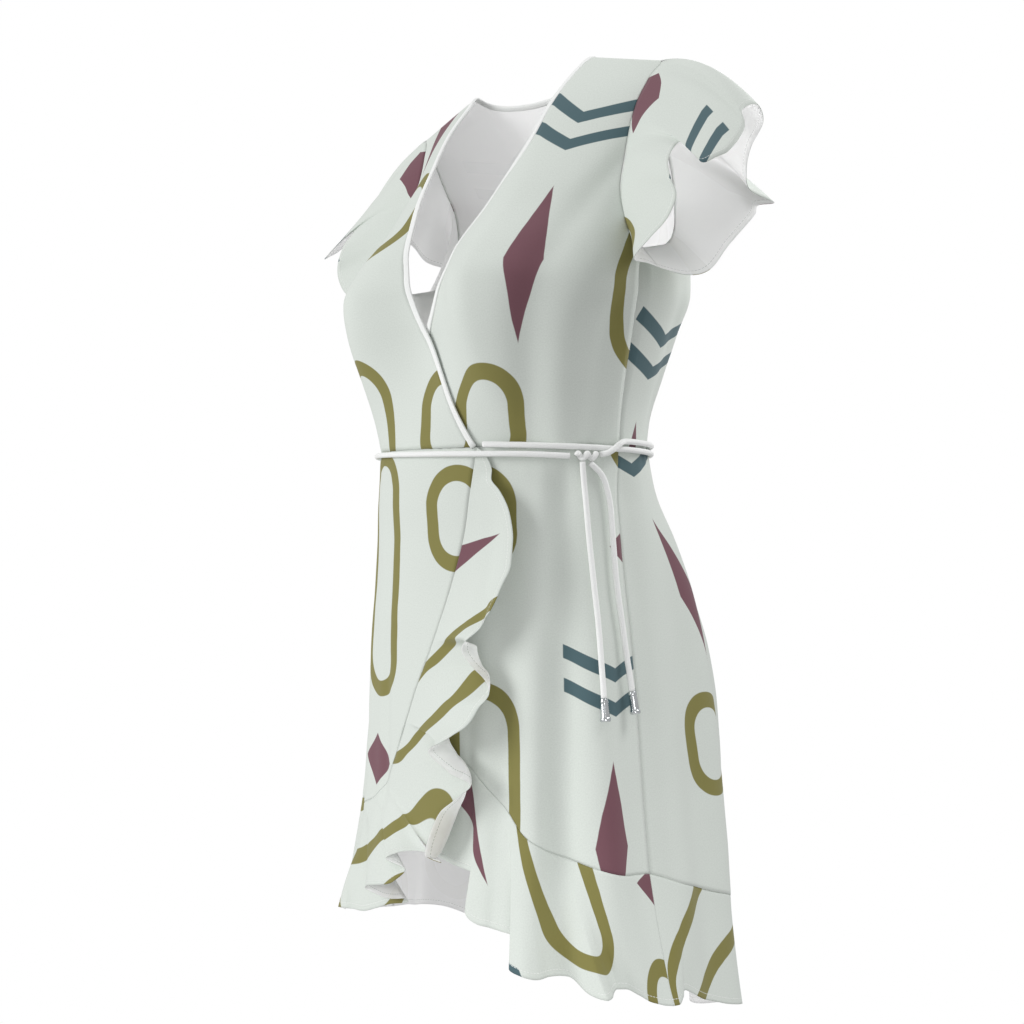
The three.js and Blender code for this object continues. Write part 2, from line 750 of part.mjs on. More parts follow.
const LEFT_HEM = table(HEM_COLUMNS, [
  [0, -38.5, -388, 0, 0, 0],
  [0.12, -42, -452, 0, 0, 0],
  [0.24, -43, -520, 0, 0, 0],
  [0.34, -38, -598, 0, 0, 0],
  [0.44, -21, -690, 0, 0, 0],
  [0.52, 0, -752, 0, 0, 0],
  [0.6, 24, -761, 1, 0, 0],
  [0.64, 37, -768, 3, 0, 0],
  [0.665, 36.6, -795, 14, 0, 0],
  [0.69, 41.4, -807, 17, 0, 0],
  [0.72, 48.7, -808, 12, 0, 0],
  [0.75, 54, -812, 4, 0, 0],
  [0.785, 52, -835, 17, 0, 0],
  [0.8, 53.9, -840, 19, 0, 0],
  [0.82, 56.5, -843, 15, 0, 0],
  [0.84, 59.4, -842, 7, 0, 0],
  [0.86, 65.2, -843, 4, 0, 0],
  [0.88, 70.6, -854, 15, 0, 0],
  [0.895, 73.4, -857, 19, 0, 0],
  [0.905, 74.2, -856, 12, 0, 0],
  [0.915, 74.6, -854, 2, 0, 0],
  [0.925, 75.6, -852, -4, 0, 0],
  [0.94, 78.5, -853, -3, 0, 0],
  [0.955, 80.6, -859, 3, 0, 0],
  [0.97, 82.5, -866, 10, 0, 0],
  [0.985, 86.2, -871, 14, 0, 0],
  [1, 90, -873, 15, 0, 0],
]);
// Hem of the back flounce: the angle of its seam, and the angle, level and stand of the hem below it.
const BACK_HEM = table(["seam", "angle", "level", "stand"], [
  [90, 90, -873, 15],
  [93, 91.8, -873, 13],
  [96, 93.8, -869, 4],
  [99, 95.8, -866, -6],
  [103, 100, -871, -9],
  [109, 106.6, -885, -3],
  [117, 115, -898, 4],
  [128, 129, -915, 3],
  [138, 139, -927, 0],
  [150, 150, -944, 9],
  [163, 163, -957, -6],
  [176, 176, -961, 9],
  [189, 189, -960, -6],
  [202, 202, -951, 9],
  [215, 215, -939, -6],
  [228, 228, -924, 8],
  [240, 241, -903, -4],
  [250, 251, -891, 2],
  [256, 257.5, -886, -1],
  [261, 262, -881, -9],
  [265, 265.5, -878, -9],
  [270, 270, -877, -6],
]);

// A flounce as rows from its seam to its hem. `seamPoints` are the panel's own edge points; between
// them the seam runs straight. `base(k, t)` gives the smooth flounce at station k and share t.
function flounce(seamPoints, parts, base, outward) {
  const stations = [];
  for (let k = 0; k < seamPoints.length - 1; k++) {
    for (let m = 0; m < parts(k); m++) stations.push(k + m / parts(k));
  }
  stations.push(seamPoints.length - 1);
  const rows = Array.from({ length: FLOUNCE_ROWS + 1 }, () => []);
  for (const k of stations) {
    const whole = Math.min(Math.floor(k), seamPoints.length - 2);
    const seamPoint = seamPoints[whole].clone().lerp(seamPoints[whole + 1], k - whole);
    const direction = base(k, 0.1).sub(base(k, 0)).normalize();
    const shift = seamPoint.addScaledVector(direction, SEAM).sub(base(k, 0));
    for (let i = 0; i <= FLOUNCE_ROWS; i++) {
      const t = i / FLOUNCE_ROWS;
      rows[i].push(base(k, t).addScaledVector(shift, (1 - t) ** 2));
    }
  }
  return wallGeometry(rows, gridNormals(rows, outward));
}

// How far a flounce stands off the skirt a share t of the way down to its hem.
function standAt(t, hemStand) {
  const midStand = Math.min(MID_STAND * hemStand, MID_STAND_MOST);
  return hemStand * t ** 2 + midStand * 2 * t * (1 - t);
}

function frontFlounce(side, seam, hem, plainRows, panelPoints) {
  const lowEdge = panelPoints[SKIRT_ROWS];
  const freeEdge = panelPoints.map((row) => row[0]);
  const seamPoints = [...freeEdge, ...lowEdge.slice(1)];
  const surface = side > 0 ? onLeftSkirt : onSkirt;
  const sideAngle = Math.PI / 2 - sideTrim(onSkirt, WAIST, SEAM);
  const runAt = (k) => {
    if (k <= SKIRT_ROWS) return (CORNER_RUN * k) / SKIRT_ROWS;
    return lerp(CORNER_RUN, 1, (k - SKIRT_ROWS) / SKIRT_COLUMNS);
  };
  const base = (k, t) => {
    const run = runAt(k);
    const start = seamAt(seam, run);
    const end = (name) => lookup(hem, name, run);
    const bend = 2 * t * (1 - t);
    const level = lerp(start.level, end("level"), t) + bend * end("drop");
    const turn = lerp(start.angle, rad(end("angle")), t) + bend * rad(end("bow"));
    const angle = side * Math.min(turn, sideAngle);
    const stand = standAt(t, end("stand"));
    return surface(level, angle).addScaledVector(normalOn(onSkirt, level, angle), stand);
  };
  const parts = (k) => {
    if (k >= SKIRT_ROWS) return HEM_PARTS;
    return k < plainRows ? 1 : CASCADE_PARTS;
  };
  return flounce(seamPoints, parts, base, side);
}

function backFlounce(panelPoints) {
  const trim = sideTrim(onSkirt, WAIST, SEAM);
  const within = (angle) => THREE.MathUtils.clamp(angle, Math.PI / 2 + trim, 1.5 * Math.PI - trim);
  const base = (k, t) => {
    const start = within(lerp(Math.PI / 2, 1.5 * Math.PI, k / BACK_COLUMNS));
    const end = (name) => lookup(BACK_HEM, name, deg(start));
    const level = lerp(lookup(BACK_SEAM, "level", deg(start)), end("level"), t);
    const angle = within(lerp(start, rad(end("angle")), t));
    const stand = standAt(t, end("stand"));
    return onSkirt(level, angle).addScaledVector(normalOn(onSkirt, level, angle), stand);
  };
  return flounce(panelPoints[SKIRT_ROWS], () => BACK_PARTS, base, 1);
}

// ---------------------------------------------------------------- tie cord, knot and tips

// Point `lift` mm off the waist at a true angle round the body.
function offWaist(angle, level, lift) {
  const surface = level > WAIST ? onBodiceByAngle : onSkirt;
  return surface(level, angle).addScaledVector(normalOn(onSkirt, WAIST, angle), lift);
}

// Near the waist the bodice is a plain ellipse too, so a true angle finds its point.
function onBodiceByAngle(level, angle) {
  const value = (name) => lookup(BODICE, name, level);
  const depth = value(Math.cos(angle) >= 0 ? "front" : "back");
  const radius = 1 / Math.hypot(Math.sin(angle) / value("half"), Math.cos(angle) / depth);
  return new THREE.Vector3(radius * Math.sin(angle), -radius * Math.cos(angle), level);
}

const LYING = CORD / 2 + CORD_CLEAR;
const FINEST_TURN = 7; // degrees between the points of a waist cord
const LONG_TIE_STEP = 16; // mm between the cord's sections
const SHORT_TIE_STEP = 10; // finer, for its climb over the long tie
const TAIL_STEPS = 18;

// Route of the long tie: from the right front's corner round the left side and the back to the knot.
const LONG_TIE = table(
  ["angle", "level", "lift"],
  [
    [39, -377.5, LYING + 0.4],
    [62, -379.2, LYING + 0.3],
    [90, -381.5, LYING + 0.3],
    [130, -384, LYING],
    [180, -385, LYING],
    [270, -384, LYING + 0.3],
    [320, -383, LYING + 0.3],
    [360, -384.5, LYING + 0.3],
    [395, -386, LYING + 1.2],
    [415, -386.8, LYING + 1.2],
    [430.2, -388.6, LYING + 2],
  ],
);
// Route of the short tie: from the knot over the long one and round the back to the right side seam.
const SHORT_TIE = table(
  ["angle", "level", "lift"],
  [
    [80.9, -387, LYING + 2],
    [82.4, -385.8, LYING + 6.6],
    [84.5, -382.4, LYING + 8.2],
    [87, -377.3, LYING + 7.6],
    [89.5, -375, LYING + 3.6],
    [92.5, -374.3, LYING + 1.4],
    [98, -374.5, LYING + 0.6],
    [130, -376.5, LYING + 0.4],
    [180, -377.5, LYING + 0.4],
    [268, -376, LYING + 0.4],
  ],
);
const KNOT = { angle: 75.6, level: -388.4, lift: 5.6 };

// Free ends below the knot, lying on the skirt.
const TAIL_COLUMNS = ["level", "angle", "lift"];
const FIRST_TAIL = table(TAIL_COLUMNS, [
  [-394.2, 74.4, LYING + 2.2],
  [-417, 74.9, LYING + 0.3],
  [-475, 75.6, LYING + 0.8],
  [-541, 76.3, LYING + 0.8],
  [-604, 76.5, LYING + 2.4],
]);
const SECOND_TAIL = table(TAIL_COLUMNS, [
  [-395.4, 77, LYING + 2.2],
  [-401, 79.6, LYING + 0.8],
  [-411, 82.2, LYING + 0.3],
  [-441, 83.8, LYING + 0.8],
  [-491, 83.6, LYING + 1.2],
  [-551, 84.9, LYING + 1.2],
  [-600, 86.4, LYING + 2.4],
]);

function cordSection(diameter) {
  const section = new THREE.Shape();
  for (let i = 0; i < CORD_SIDES; i++) {
    const turn = (2 * Math.PI * (i + 0.5)) / CORD_SIDES;
    const x = (diameter / 2) * Math.cos(turn);
    const y = (diameter / 2) * Math.sin(turn);
    if (i === 0) section.moveTo(x, y);
    else section.lineTo(x, y);
  }
  section.closePath();
  return section;
}

function cord(path, steps) {
  return new THREE.ExtrudeGeometry(cordSection(CORD), { steps, bevelEnabled: false, extrudePath: path });
}

// A cord round the waist passes every row of its route, and a point each few degrees between them.
function waistCord(route, step) {
  const angles = [];
  route.rows.slice(1).forEach((row, i) => {
    const from = route.rows[i].angle;
    const count = Math.ceil((row.angle - from) / FINEST_TURN);
    for (let j = 0; j < count; j++) angles.push(lerp(from, row.angle, j / count));
  });
  angles.push(route.rows[route.rows.length - 1].angle);
  const points = angles.map((angle) =>
    offWaist(rad(angle), lookup(route, "level", angle), lookup(route, "lift", angle)),
  );
  const path = new THREE.CatmullRomCurve3(points, false, "centripetal");
  return cord(path, Math.round(path.getLength() / step));
}

function tailPath(tail) {
  const points = [];
  for (let i = 0; i <= TAIL_STEPS; i++) {
    const level = lerp(tail.rows[tail.rows.length - 1].level, tail.rows[0].level, i / TAIL_STEPS);
    const angle = rad(lookup(tail, "angle", level));
    const lift = lookup(tail, "lift", level);
    points.push(onSkirt(level, angle).addScaledVector(normalOn(onSkirt, level, angle), lift));
  }
  return new THREE.CatmullRomCurve3(points, false, "centripetal");
}

// Lathes a profile of [radius, place along the axis] with its axis along `direction` at `position`.
function lathe(profile, direction, position) {
  const outline = profile.map(([radius, along]) => new THREE.Vector2(radius, along));
  const turn = new THREE.Quaternion().setFromUnitVectors(new THREE.Vector3(0, 1, 0), direction);
  const geometry = new THREE.LatheGeometry(outline, LATHE_SIDES).applyQuaternion(turn);
  return geometry.translate(position.x, position.y, position.z);
}

function knot() {
  // Two lumps of cord with a waist between them.
  const profile = [
    [0, -12.6],
    [2.8, -12.6],
    [4.3, -9.5],
    [4.5, -5],
    [3.6, -1.5],
    [4.6, 2],
    [4.7, 8],
    [3, 12.6],
    [0, 12.6],
  ];
  const angle = rad(KNOT.angle);
  const along = runPerRadian(onSkirt, KNOT.level, angle).normalize();
  return lathe(profile, along, offWaist(angle, KNOT.level, KNOT.lift));
}

function tip(path) {
  // A sleeve on the cord, a neck, and a bell with a rim round its hollow foot.
  const profile = [
    [0, 0],
    [3.3, 0],
    [3.8, 3],
    [3.4, 4.5],
    [4.1, 16],
    [4.8, 17.5],
    [4.8, 20],
    [3.6, 20.5],
    [3.4, 18.5],
    [0, 18.5],
  ];
  const direction = path.getTangent(1);
  return lathe(profile, direction, path.getPoint(1).addScaledVector(direction, SEAM));
}

// ---------------------------------------------------------------- assembly

add("bodice_front_right", bodiceFront(-1), PALE);
add("bodice_front_left", bodiceFront(1), PALE);
add("bodice_back", bodiceBack(), PALE);
add("neck_binding", neckBinding(), WHITE, 0.8);
add("sleeve_left", sleeve(1), PALE);
add("sleeve_right", sleeve(-1), PALE);

const rightSkirt = skirtFront(-1, RIGHT_SEAM);
const leftSkirt = skirtFront(1, LEFT_SEAM);
const backSkirt = skirtBack();
add("skirt_front_right", rightSkirt.geometry, PALE);
add("skirt_front_left", leftSkirt.geometry, PALE);
add("skirt_back", backSkirt.geometry, PALE);
add("flounce_front_right", frontFlounce(-1, RIGHT_SEAM, RIGHT_HEM, 0, rightSkirt.points), PALE);
add("flounce_front_left", frontFlounce(1, LEFT_SEAM, LEFT_HEM, PLAIN_ROWS, leftSkirt.points), PALE);
add("flounce_back", backFlounce(backSkirt.points), PALE);

const firstTail = tailPath(FIRST_TAIL);
const secondTail = tailPath(SECOND_TAIL);
add("tie_long", waistCord(LONG_TIE, LONG_TIE_STEP), WHITE, 0.7);
add("tie_short", waistCord(SHORT_TIE, SHORT_TIE_STEP), WHITE, 0.7);
add("tie_knot", knot(), WHITE, 0.7);
add("tie_tail_1", cord(firstTail, TAIL_STEPS), WHITE, 0.7);
add("tie_tail_2", cord(secondTail, TAIL_STEPS), WHITE, 0.7);
add("tie_tip_1", tip(firstTail), SILVER, 0.3, 1);
add("tie_tip_2", tip(secondTail), SILVER, 0.3, 1);

export default dress;
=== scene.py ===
import math

import bpy
import numpy as np
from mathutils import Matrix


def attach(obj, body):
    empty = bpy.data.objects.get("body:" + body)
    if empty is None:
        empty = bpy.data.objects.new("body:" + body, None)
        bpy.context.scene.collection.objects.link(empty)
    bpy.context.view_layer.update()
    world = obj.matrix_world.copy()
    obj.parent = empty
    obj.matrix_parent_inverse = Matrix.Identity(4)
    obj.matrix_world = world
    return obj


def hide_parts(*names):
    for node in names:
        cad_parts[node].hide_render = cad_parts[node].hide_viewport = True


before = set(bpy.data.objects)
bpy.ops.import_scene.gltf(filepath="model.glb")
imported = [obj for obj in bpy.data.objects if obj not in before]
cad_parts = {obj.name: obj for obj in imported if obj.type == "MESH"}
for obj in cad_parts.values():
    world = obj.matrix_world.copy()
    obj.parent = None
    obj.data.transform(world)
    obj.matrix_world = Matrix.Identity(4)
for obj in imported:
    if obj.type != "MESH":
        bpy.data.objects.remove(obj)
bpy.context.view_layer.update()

# ------------------------------------------------------------------ the body's form
# The dress is shown filled out, so its cloth follows a body: first the bodice, then the skirt.
# Every panel below is cut from these two forms. Sizes are in millimetres from here on.
MM = 0.001
NECK_SIDE = 87
SHOULDER_SLOPE = 0.28
BUST = 98
UNDERARM = -200
WAIST = -380
SMALL_TURN = 1e-3
SMALL_RISE = 0.4
WAIST_BAND = 1  # mm of the form, round the waist seam, that is held upright
SHOULDER_BAND = 0.5  # and along the shoulder seam, that is held square to it


def smooth_curve(at_rows, values):
    """A cubic through the rows that never overshoots them."""
    step = np.diff(at_rows)
    slope = np.diff(values) / step
    mean = (slope[:-1] * step[1:] + slope[1:] * step[:-1]) / (step[:-1] + step[1:])
    least = np.minimum(np.minimum(abs(slope[:-1]), abs(slope[1:])), abs(mean) / 2)
    inner = (np.sign(slope[:-1]) + np.sign(slope[1:])) * least
    tangent = np.concatenate([slope[:1], inner, slope[-1:]])

    def value(at):
        at = np.clip(at, at_rows[0], at_rows[-1])
        i = np.clip(np.searchsorted(at_rows, at, side="right") - 1, 0, len(step) - 1)
        h = step[i]
        t = (at - at_rows[i]) / h
        ends = values[i] * (1 + 2 * t) * (1 - t) ** 2 + values[i + 1] * t * t * (3 - 2 * t)
        return ends + h * tangent[i] * t * (1 - t) ** 2 + h * tangent[i + 1] * t * t * (t - 1)

    return value


def table(columns, rows):
    """One smooth curve for each column after the first, against the first."""
    ordered = np.array(sorted(rows), float)
    names = columns.split()
    return {name: smooth_curve(ordered[:, 0], ordered[:, k]) for k, name in enumerate(names) if k}


def fade(value, low, high):
    """0 below low, 1 above high, smooth between."""
    t = np.clip((value - low) / (high - low), 0, 1)
    return t * t * (3 - 2 * t)


def lerp(a, b, t):
    return a + (b - a) * t


def unit(vectors):
    return vectors / np.maximum(np.linalg.norm(vectors, axis=-1, keepdims=True), 1e-9)


BODICE = table(
    "level half front back mid cleft square_front square_back slope",
    [
        (0, 180, 0, 0, 27, 0, 2, 2, 1),
        (-1, 180, 3.5, 4, 27, 0, 2, 2, 1),
        (-4, 180, 7.5, 9, 27, 0, 2, 2, 1),
        (-14, 180, 16.5, 19, 26, 0, 2, 2, 1),
        (-43, 176, 43, 48, 24, 2, 1.9, 2, 1),
        (-100, 171, 82, 92, 20, 16, 1.8, 2.4, 0.6),
        (-150, 172, 113, 118, 12, 34, 1.8, 2.6, 0.2),
        (-200, 178, 143, 132, 4, 42, 2.1, 2.8, 0),
        (-231, 178, 154, 136, 2, 42, 2.3, 2.8, 0),
        (-267, 172, 151, 128, 0, 42, 2.2, 2.6, 0),
        (-307, 163, 139, 120, 0, 30, 2.15, 2.4, 0),
        (-347, 155, 127, 115, 0, 12, 2.05, 2.1, 0),
        (-380, 152, 119, 113, 0, 0, 2, 2, 0),
    ],
)
SKIRT = table(
    "level half front back fold",
    [
        (-380, 152, 119, 113, 0),
        (-427, 157, 119, 130, 0.5),
        (-467, 162, 117, 159, 1.5),
        (-507, 168, 117, 184, 2.5),
        (-547, 174, 118, 203, 3.5),
        (-587, 179, 118, 216, 4),
        (-667, 188, 118, 226, 5),
        (-707, 192, 118, 227, 5.5),
        (-747, 197, 122, 223, 6),
        (-787, 203, 131, 216, 6),
        (-827, 209, 142, 211, 6),
        (-867, 215, 151, 212, 6),
        (-907, 221, 157, 214, 6),
        (-970, 230, 164, 221, 6),
    ],
)
# Crest, trough and so on of the folds that fall from the waist, in degrees round the body.
FOLD_TURNS = (
    54, 65, 76, 87, 98, 112, 125, 137, 150, 163, 176, 189, 202, 215, 228, 243, 257.5, 275, 286, 300.5,
    313, 324, 332,
)
FOLDS_START = (34, 54)
FOLDS_END = (296, 324)


def phase(turns, at):
    """Even multiples of pi at the crests, odd ones at the troughs."""
    turns = np.array(turns, float)
    i = np.clip(np.searchsorted(turns, at, side="right") - 1, 0, len(turns) - 2)
    return math.pi * (i + (at - turns[i]) / (turns[i + 1] - turns[i]))


def on_bodice(level, angle):
    """Outside of the bodice; the angle runs from the front centre to the wearer's left."""
    level, angle = np.broadcast_arrays(np.asarray(level, float), np.asarray(angle, float))
    at = {name: curve(level) for name, curve in BODICE.items()}
    is_front = np.cos(angle) >= 0
    power = 2 / np.where(is_front, at["square_front"], at["square_back"])
    x = at["half"] * np.sign(np.sin(angle)) * abs(np.sin(angle)) ** power
    depth = np.where(is_front, at["front"], at["back"]) * abs(np.cos(angle)) ** power
    share = np.minimum(1, abs(x) / BUST)
    hollow = np.where(is_front, at["cleft"] * (1 - share**2) ** 2, 0)
    y = at["mid"] + np.where(is_front, hollow - depth, depth)
    fall = at["slope"] * SHOULDER_SLOPE * np.maximum(0, abs(x) - NECK_SIDE)
    return np.stack([x, y, level - fall], -1)


def on_skirt(level, angle):
    """Outside of the skirt, by the true angle round the upright axis."""
    level, angle = np.broadcast_arrays(np.asarray(level, float), np.asarray(angle, float))
    at = {name: curve(level) for name, curve in SKIRT.items()}
    depth = np.where(np.cos(angle) >= 0, at["front"], at["back"])
    turn = np.degrees(angle) % 360
    shown = fade(turn, *FOLDS_START) * (1 - fade(turn, *FOLDS_END))
    wave = shown * np.cos(phase(FOLD_TURNS, turn))
    radius = 1 / np.hypot(np.sin(angle) / at["half"], np.cos(angle) / depth) + at["fold"] * wave
    return np.stack([radius * np.sin(angle), -radius * np.cos(angle), level], -1)


def run_per_radian(surface, level, angle):
    return (surface(level, angle + SMALL_TURN) - surface(level, angle - SMALL_TURN)) / (2 * SMALL_TURN)


def outward(surface, level, angle):
    """Outward unit normal of a form; flat across the waist seam and square to the shoulder seam."""
    level = np.asarray(level, float)
    by_level = surface(level + SMALL_RISE, angle) - surface(level - SMALL_RISE, angle)
    normal = np.cross(run_per_radian(surface, level, angle), by_level)
    normal[..., 2] = np.where(abs(level - WAIST) < WAIST_BAND, 0, normal[..., 2])
    if surface is on_bodice:
        side = np.sign(np.sin(angle)) * np.ones_like(normal[..., 0])
        shoulder = np.stack([side * SHOULDER_SLOPE, 0 * side, 1 + 0 * side], -1)
        normal = np.where((level > -SHOULDER_BAND)[..., None] * np.ones_like(normal), shoulder, normal)
    return unit(normal)


def run_round(surface, level, start, angle, steps=16):
    """Signed length along the cloth at one level, from one angle to another."""
    share = np.linspace(0, 1, steps).reshape(-1, 1, 1)
    stops = surface(level + 0 * share, start + (angle - start) * share)
    return np.sign(angle - start) * np.linalg.norm(np.diff(stops, axis=0), axis=-1).sum(0)


# ------------------------------------------------------------------ bodice
# Two fronts and a back of printed crepe, joined at the shoulders and sides. The right front laps over
# the left one. The cloth is printed on its outside only, and white inside.
LAP = 4
BINDING_WIDTH = 6
UNDER_BINDING = 1  # how far the cloth reaches in under its binding
SEAM_DIP = 0.35
CLOTH = 0.6
FRONT_EDGE = table(
    "level x",
    [
        (0, 87), (-14, 81), (-43, 78), (-99, 72), (-146, 59), (-183, 42), (-213, 25), (-262, 0),
        (-322, -42), (-380, -74),
    ],
)
ARMHOLE = table(
    "level front back",
    [
        (0, 90, 90),
        (-8, 78, 81),
        (-20, 72, 77.5),
        (-45, 70, 74),
        (-75, 71, 72),
        (-105, 73, 71),
        (-135, 74.5, 71),
        (-160, 77.5, 73),
        (-180, 81.5, 77),
        (-193, 86, 82.5),
        (-200, 90, 90),
    ],
)
BODICE_LAP_ENDS = (9, 26)


def colour(code, lift=1.0):
    """Linear colour of a hex code."""
    parts = [int(code[i : i + 2], 16) / 255 for i in (1, 3, 5)]
    return (*[lift * (c / 12.92 if c <= 0.04045 else ((c + 0.055) / 1.055) ** 2.4) for c in parts], 1.0)


class Finish:
    """A material, put together node by node."""

    def __init__(self, name):
        self.material = bpy.data.materials.new(name)
        self.material.use_nodes = True
        self.tree = self.material.node_tree
        self.shader = self.tree.nodes["Principled BSDF"]

    def node(self, kind, settings=None, **inputs):
        made = self.tree.nodes.new(kind)
        for key, value in (settings or {}).items():
            setattr(made, key, value)
        for key, value in inputs.items():
            self.plug(made.inputs[key.replace("_", " ")], value)
        return made

    def plug(self, socket, value):
        if isinstance(value, bpy.types.NodeSocket):
            self.tree.links.new(value, socket)
        else:
            socket.default_value = value

    def math(self, operation, *values):
        made = self.tree.nodes.new("ShaderNodeMath")
        made.operation = operation
        for socket, value in zip(made.inputs, values):
            self.plug(socket, value)
        return made.outputs[0]

    def map(self, name):
        """The two coordinates of one of the cloth's flat maps, in metres."""
        made = self.node("ShaderNodeUVMap", {"uv_map": name})
        split = self.node("ShaderNodeSeparateXYZ", Vector=made.outputs[0])
        return made.outputs[0], split.outputs[0], split.outputs[1]

    def noise(self, vector, scale, detail=2.0, roughness=0.5):
        made = self.node(
            "ShaderNodeTexNoise", Vector=vector, Scale=scale, Detail=detail, Roughness=roughness
        )
        return made.outputs["Fac"]

    def blend(self, share, first, second):
        made = self.node("ShaderNodeMix", {"data_type": "RGBA"})
        self.plug(made.inputs[0], share)
        self.plug(made.inputs[6], first)
        self.plug(made.inputs[7], second)
        return made.outputs[2]

    def surface(self, roughness, **sockets):
        self.shader.inputs["Roughness"].default_value = roughness
        for key, value in sockets.items():
            self.shader.inputs[key.replace("_", " ")].default_value = value

    def bump(self, height, distance, strength=1.0):
        made = self.node("ShaderNodeBump", Height=height, Distance=distance, Strength=strength)
        self.plug(self.shader.inputs["Normal"], made.outputs[0])


GROUND = "#d9dfd9"
OLIVE = "#85804a"
TEAL = "#50686e"
PLUM = "#78535c"
REPEAT = (0.29, 0.43)
INK_EDGE = 0.0007
PRINT_WANDER = 0.0022
WANDER_SCALE = 30.0
# The motifs: each one's centre in the repeat, then its own sizes, in metres.
LONG_OVAL = ((-0.085, 0.02), 0.034, 0.08, 0.0155)
SHORT_OVAL = ((0.08, -0.14), 0.03, 0.012, 0.015)
UPPER_CHEVRON = ((0.05, 0.15), 0.052, 0.42, 0.0125)
LOWER_CHEVRON = ((0.05, 0.12), 0.052, 0.42, 0.0125)
LONG_LOZENGE = ((0.045, 0.0), 0.018, 0.075)
SMALL_LOZENGE = ((-0.08, -0.165), 0.032, 0.026)


def band(f, distance, half, soft=INK_EDGE):
    """1 where a distance is within a half width, with a soft edge."""
    inside = f.math("SUBTRACT", half, f.math("ABSOLUTE", distance))
    ramp = f.math("DIVIDE", inside, soft)
    made = f.node("ShaderNodeClamp", Value=f.math("ADD", ramp, 0.5))
    return made.outputs[0]


def open_oval(f, x, y, centre, radius, straight, stroke):
    """A long ring with straight sides."""
    across = f.math("ABSOLUTE", f.math("SUBTRACT", x, centre[0]))
    along = f.math("ABSOLUTE", f.math("SUBTRACT", y, centre[1]))
    beyond = f.math("MAXIMUM", f.math("SUBTRACT", along, straight), 0)
    from_middle = f.math("SQRT", f.math("ADD", f.math("POWER", across, 2), f.math("POWER", beyond, 2)))
    return band(f, f.math("SUBTRACT", from_middle, radius), stroke / 2)


def chevron(f, x, y, centre, half, rise, stroke):
    """A shallow V."""
    across = f.math("ABSOLUTE", f.math("SUBTRACT", x, centre[0]))
    along = f.math("SUBTRACT", f.math("SUBTRACT", y, centre[1]), f.math("MULTIPLY", across, rise))
    return f.math("MULTIPLY", band(f, along, stroke / 2), band(f, across, half))


def lozenge(f, x, y, centre, half, tall):
    """A long diamond."""
    across = f.math("ABSOLUTE", f.math("SUBTRACT", x, centre[0]))
    along = f.math("ABSOLUTE", f.math("SUBTRACT", y, centre[1]))
    reach = f.math("ADD", f.math("DIVIDE", across, half), f.math("DIVIDE", along, tall))
    return band(f, f.math("MULTIPLY", reach, half), half)


def printed_colour(f, ground):
    """The ground with a half-drop repeat of ovals, chevron pairs and lozenges."""
    flat, u, v = f.map("cut")
    wander = f.math("MULTIPLY", f.math("SUBTRACT", f.noise(flat, WANDER_SCALE), 0.5), PRINT_WANDER)
    u = f.math("ADD", u, wander)
    column = f.math("FLOOR", f.math("DIVIDE", u, REPEAT[0]))
    drop = f.math("MULTIPLY", f.math("FLOORED_MODULO", column, 2), 0.5)
    v = f.math("ADD", f.math("DIVIDE", v, REPEAT[1]), drop)
    row = f.math("FLOOR", v)
    turn = f.math("SUBTRACT", 1, f.math("MULTIPLY", f.math("FLOORED_MODULO", row, 2), 2))
    x = f.math("SUBTRACT", f.math("SUBTRACT", u, f.math("MULTIPLY", column, REPEAT[0])), REPEAT[0] / 2)
    x = f.math("MULTIPLY", x, turn)
    y = f.math("MULTIPLY", f.math("SUBTRACT", f.math("SUBTRACT", v, row), 0.5), REPEAT[1])
    olive = f.math("MAXIMUM", open_oval(f, x, y, *LONG_OVAL), open_oval(f, x, y, *SHORT_OVAL))
    teal = f.math("MAXIMUM", chevron(f, x, y, *LOWER_CHEVRON), chevron(f, x, y, *UPPER_CHEVRON))
    plum = f.math("MAXIMUM", lozenge(f, x, y, *LONG_LOZENGE), lozenge(f, x, y, *SMALL_LOZENGE))
    made = f.blend(olive, ground, colour(OLIVE))
    made = f.blend(teal, made, colour(TEAL))
    return f.blend(plum, made, colour(PLUM))


GRAIN_SCALE = 1100.0
GRAIN_SHARE = 0.16
UNEVEN_SCALE = 160.0
UNEVEN_SHARE = 0.25
HEM_TURN = 0.0055
HEM_TURN_EDGE = 0.0012
HEM_STEP = 0.5
STITCH_HALF = 0.0003
STITCH_LENGTH = 0.0032
STITCH_SHARE = 0.72


def crepe_height(f):
    """Grain of the crepe, and along a hem its turned edge with a row of stitches."""
    flat, _, _ = f.map("cut")
    grain = f.math("MULTIPLY", f.noise(flat, GRAIN_SCALE, 2.0, 0.6), GRAIN_SHARE)
    uneven = f.math("MULTIPLY", f.noise(flat, UNEVEN_SCALE), UNEVEN_SHARE)
    _, inward, along = f.map("hem")
    turned = band(f, inward, HEM_TURN, HEM_TURN_EDGE)
    row = band(f, f.math("SUBTRACT", inward, HEM_TURN), STITCH_HALF, STITCH_HALF)
    thread = f.math("LESS_THAN", f.math("FRACT", f.math("DIVIDE", along, STITCH_LENGTH)), STITCH_SHARE)
    stitch = f.math("MULTIPLY", row, thread)
    height = f.math("ADD", f.math("ADD", grain, uneven), f.math("MULTIPLY", turned, HEM_STEP))
    return f.math("SUBTRACT", height, f.math("MULTIPLY", stitch, HEM_STEP)), stitch


MOTTLE_SCALE = 700.0
GROUND_MOTTLE = (0.86, 1.12)
SHOWS_INSIDE = 0.1  # how much of the print is seen from inside
THREAD_SHOWS = 0.8
CREPE_ROUGHNESS = 0.88
SEE_THROUGH = 0.85
LIGHT_SPREAD = 0.008  # how far light spreads in the thin cloth, in metres
GRAIN_DEPTH = 0.0006


